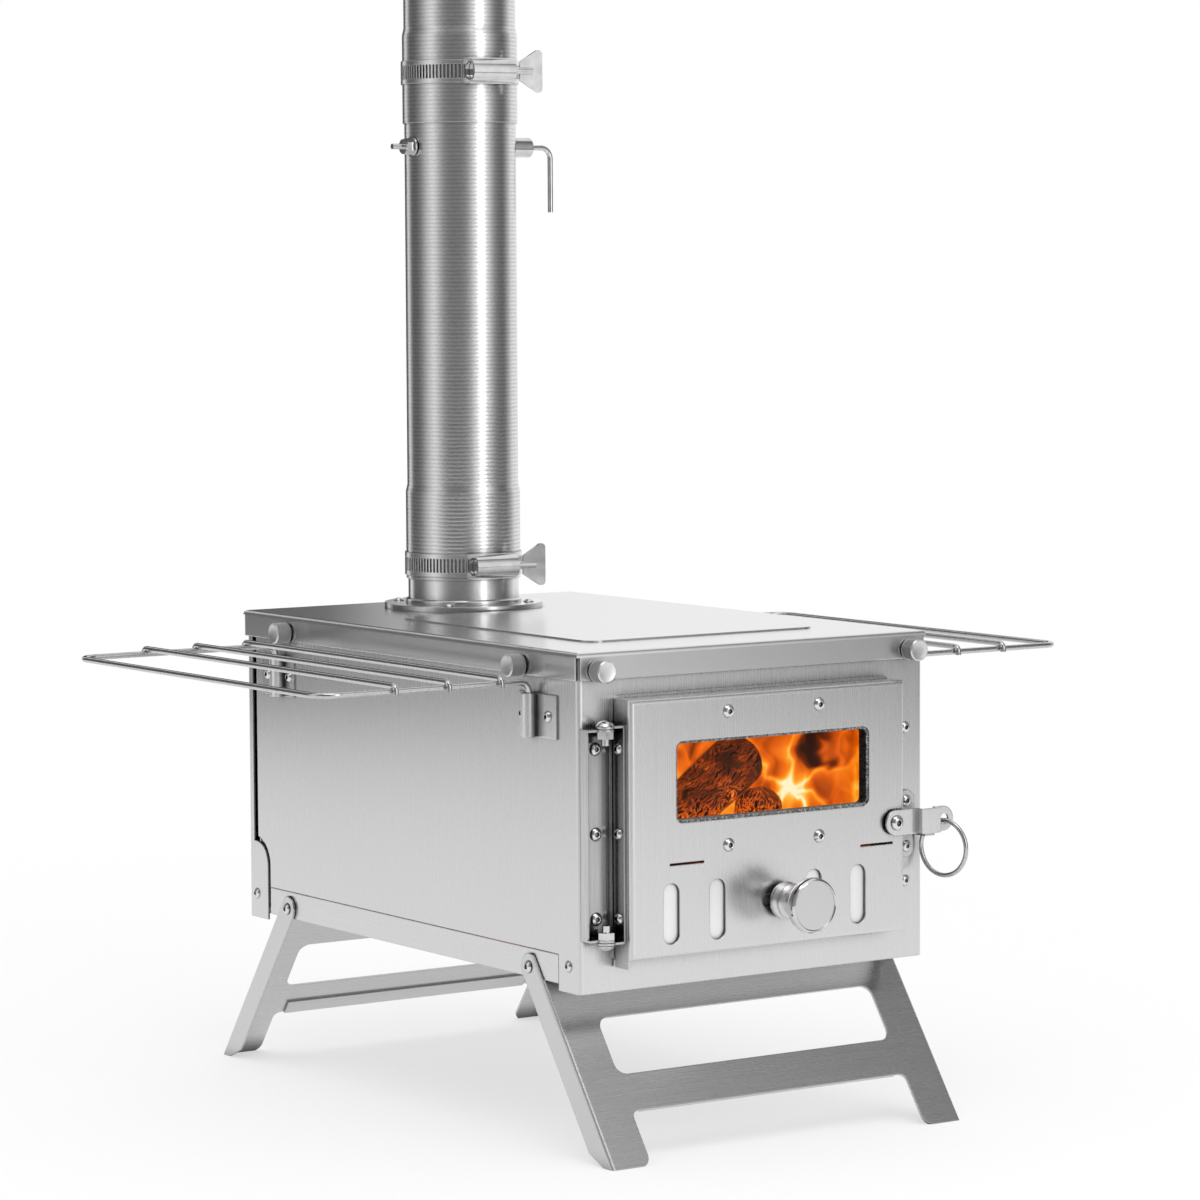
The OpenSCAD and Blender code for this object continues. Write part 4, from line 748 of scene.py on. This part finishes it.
def log_piece(name, start, end, thick):
    """A split log: a lumpy round bar with rounded burnt ends."""
    start, end = Vector(start), Vector(end)
    length = (end - start).length
    along = (end - start).normalized()
    across = along.cross(Vector((0, 0, 1) if abs(along.z) < 0.9 else (1, 0, 0))).normalized()
    over = across.cross(along)
    waves = [(chance.uniform(0.02, 0.05), chance.randint(2, 5), chance.uniform(20, 90), chance.uniform(0, 6))
             for _ in range(log_lumps)]
    points, grain = [], []
    for ring in range(log_rings):
        share = ring / (log_rings - 1)
        middle = start.lerp(end, share)
        from_end = min(share, 1 - share) * length
        closing = math.sqrt(max(end_least, 1 - max(0, 1 - from_end / (thick * end_round)) ** 2))
        for i in range(log_sides):
            angle = 2 * math.pi * i / log_sides
            lump = sum(size * math.sin(count * angle + pace * share * length + shift)
                       for size, count, pace, shift in waves)
            flat = 1 - split_depth * max(0, math.cos(angle - split_angle)) ** 3
            reach = thick * closing * (1 + lump) * flat
            points.append(middle + (across * math.cos(angle) + over * math.sin(angle)) * reach)
            grain.append((thick * math.cos(angle), thick * math.sin(angle), share * length))
    faces = [(r * log_sides + i, r * log_sides + (i + 1) % log_sides,
              (r + 1) * log_sides + (i + 1) % log_sides, (r + 1) * log_sides + i)
             for r in range(log_rings - 1) for i in range(log_sides)]
    faces += [tuple(range(log_sides - 1, -1, -1)),
              tuple((log_rings - 1) * log_sides + i for i in range(log_sides))]
    burning(name, points, faces, char, grain)


log_piece("base_log", (-0.088, -0.121, bed + base_thick), (0.088, -0.124, bed + base_thick), base_thick)
log_piece("rear_log", (-0.085, -0.02, bed + rear_thick), (0.085, -0.01, bed + rear_thick), rear_thick)
log_piece("leaning_log", (-0.075, -0.126, 0.1262), (0.0125, -0.1335, 0.1925), top_thick)
log_piece("split_chunk", (0.010, -0.128, bed + 0.004), (0.0178, -0.1345, 0.1712), chunk_thick)

# Bright rays leave a knot low in the flame, round a hollow. Each ray is its direction in degrees,
# its half width, its strength and how far it reaches.
flame_push, knot_x, knot_z, knot_size, knot_glow, flame_glow = 0.03, 0.0425, 0.166, 0.004, 0.2, 0.37
flame_rays = ((88, 0.0013, 0.42, 0.036), (136, 0.0014, 0.48, 0.042), (196, 0.0012, 0.2, 0.02),
              (252, 0.0015, 0.5, 0.02), (298, 0.0013, 0.5, 0.018), (338, 0.0012, 0.38, 0.03),
              (24, 0.0016, 0.36, 0.036))
ray_start, ray_full, swirl_scale, swirl_twist = -0.001, 0.003, 42.0, 0.6
hollow_x, hollow_z, hollow_wide, hollow_high, hollow_dark = 0.0165, 0.0205, 0.0105, 0.0098, 0.5
web_scale, web_squash, web_width, web_glow = 46.0, (1, 1, 0.6), 0.045, 0.12
soft_scale, soft_glow, unlit = 55.0, 0.85, (0.01, 0.004, 0.002, 1)
tip_low, tip_high, tip_ragged = 0.2, 0.212, 0.03


def peak(height, square, width):
    """As high as height where the squared distance is none, and half that at one width from there."""
    return height / (1 + square * (1 / width ** 2))


flame = Finish("flame")
spot = flame.position()
swirled = pushed_about(flame, spot, flame_push, Scale=swirl_scale, Detail=1.5, Distortion=swirl_twist)
east = flame.along(swirled, "X") - (knot_x + flame_push / 2)
north = flame.along(swirled, "Z") - (knot_z + flame_push / 2)
span = east * east + north * north
brightness = flame_glow + peak(knot_glow, span, knot_size)
for degrees, width, strength, reach in flame_rays:
    cos, sin = math.cos(math.radians(degrees)), math.sin(math.radians(degrees))
    outward, beside = east * cos + north * sin, north * cos - east * sin
    ahead = flame.fade(outward, ray_start, ray_full, smooth=True)
    brightness = brightness + peak(ahead * peak(1, span, reach) * strength, beside * beside, width)
webs = flame.node("ShaderNodeTexVoronoi", {"feature": "DISTANCE_TO_EDGE"},
                  {"Vector": flame.stretched(swirled, web_squash), "Scale": web_scale}, "Distance")
hollow_e, hollow_n = east - hollow_x, north - hollow_z
hollow = (hollow_e * hollow_e * (1 / hollow_wide ** 2) + hollow_n * hollow_n * (1 / hollow_high ** 2)) ** 2
soft = flame.noise(swirled, soft_scale, 1.0)
height = flame.along(spot, "Z")
rising = flame.fade(height, glow_low, glow_low + glow_blend)
brightness = (brightness + peak(web_glow, webs * webs, web_width) + (soft - 0.5) * soft_glow
              - hollow_dark / (1 + hollow)) * rising
flame.set(Base_Color=unlit, Roughness=1.0, Specular_IOR_Level=0.0,
          Emission_Color=flame.ramp(brightness, [
              (0.0, (0.02, 0.003, 0.001)), (0.16, (0.14, 0.018, 0.001)), (0.34, (0.68, 0.095, 0.002)),
              (0.5, (0.93, 0.19, 0.004)), (0.66, (1.0, 0.36, 0.02)), (0.82, (1.0, 0.66, 0.13)),
              (1.0, (1.0, 0.92, 0.6))]),
          Emission_Strength=1.0,
          Alpha=flame.fade(height + (soft - 0.5) * tip_ragged, tip_low, tip_high, 1.0, 0.0))

sheet_columns, sheet_rows, sheet_thick, lid_gap = 72, 10, 0.0008, 0.008


def flame_sheet(name, path):
    """A thin standing sheet of flame along a path on the grate, closed all round."""
    stops = [Vector((x, y, 0)) for x, y in path]
    lengths = [(b - a).length for a, b in zip(stops, stops[1:])]
    top = lid_low.z - lid_gap
    points = []
    for side in (0, sheet_thick):
        for row in range(sheet_rows):
            for column in range(sheet_columns):
                far = sum(lengths) * column / (sheet_columns - 1)
                leg = 0
                while leg < len(lengths) - 1 and far > lengths[leg]:
                    far -= lengths[leg]
                    leg += 1
                place = stops[leg].lerp(stops[leg + 1], min(1, far / lengths[leg]))
                points.append((place.x, place.y + side, bed + (top - bed) * row / (sheet_rows - 1)))
    sheet = sheet_rows * sheet_columns
    faces = []
    for row in range(sheet_rows - 1):
        for column in range(sheet_columns - 1):
            a = row * sheet_columns + column
            b = a + sheet_columns
            faces += [(a, a + 1, b + 1, b), (sheet + b, sheet + b + 1, sheet + a + 1, sheet + a)]
    rim = (list(range(sheet_columns)) + [r * sheet_columns + sheet_columns - 1 for r in range(1, sheet_rows)]
           + [(sheet_rows - 1) * sheet_columns + c for c in range(sheet_columns - 2, -1, -1)]
           + [r * sheet_columns for r in range(sheet_rows - 2, 0, -1)])
    faces += [(a, sheet + a, sheet + b, b) for a, b in zip(rim, rim[1:] + rim[:1])]
    burning(name, points, faces, flame)


flame_sheet("near_flames", [(-0.07, -0.112), (-0.02, -0.121), (0.04, -0.1265), (0.092, -0.125),
                            (0.1, -0.112)])
flame_sheet("rear_flames", [(-0.095, 0.0), (-0.03, 0.012), (0.04, 0.002), (0.098, 0.01)])


# The view layer is brought up to date at the end.

bpy.context.view_layer.update()
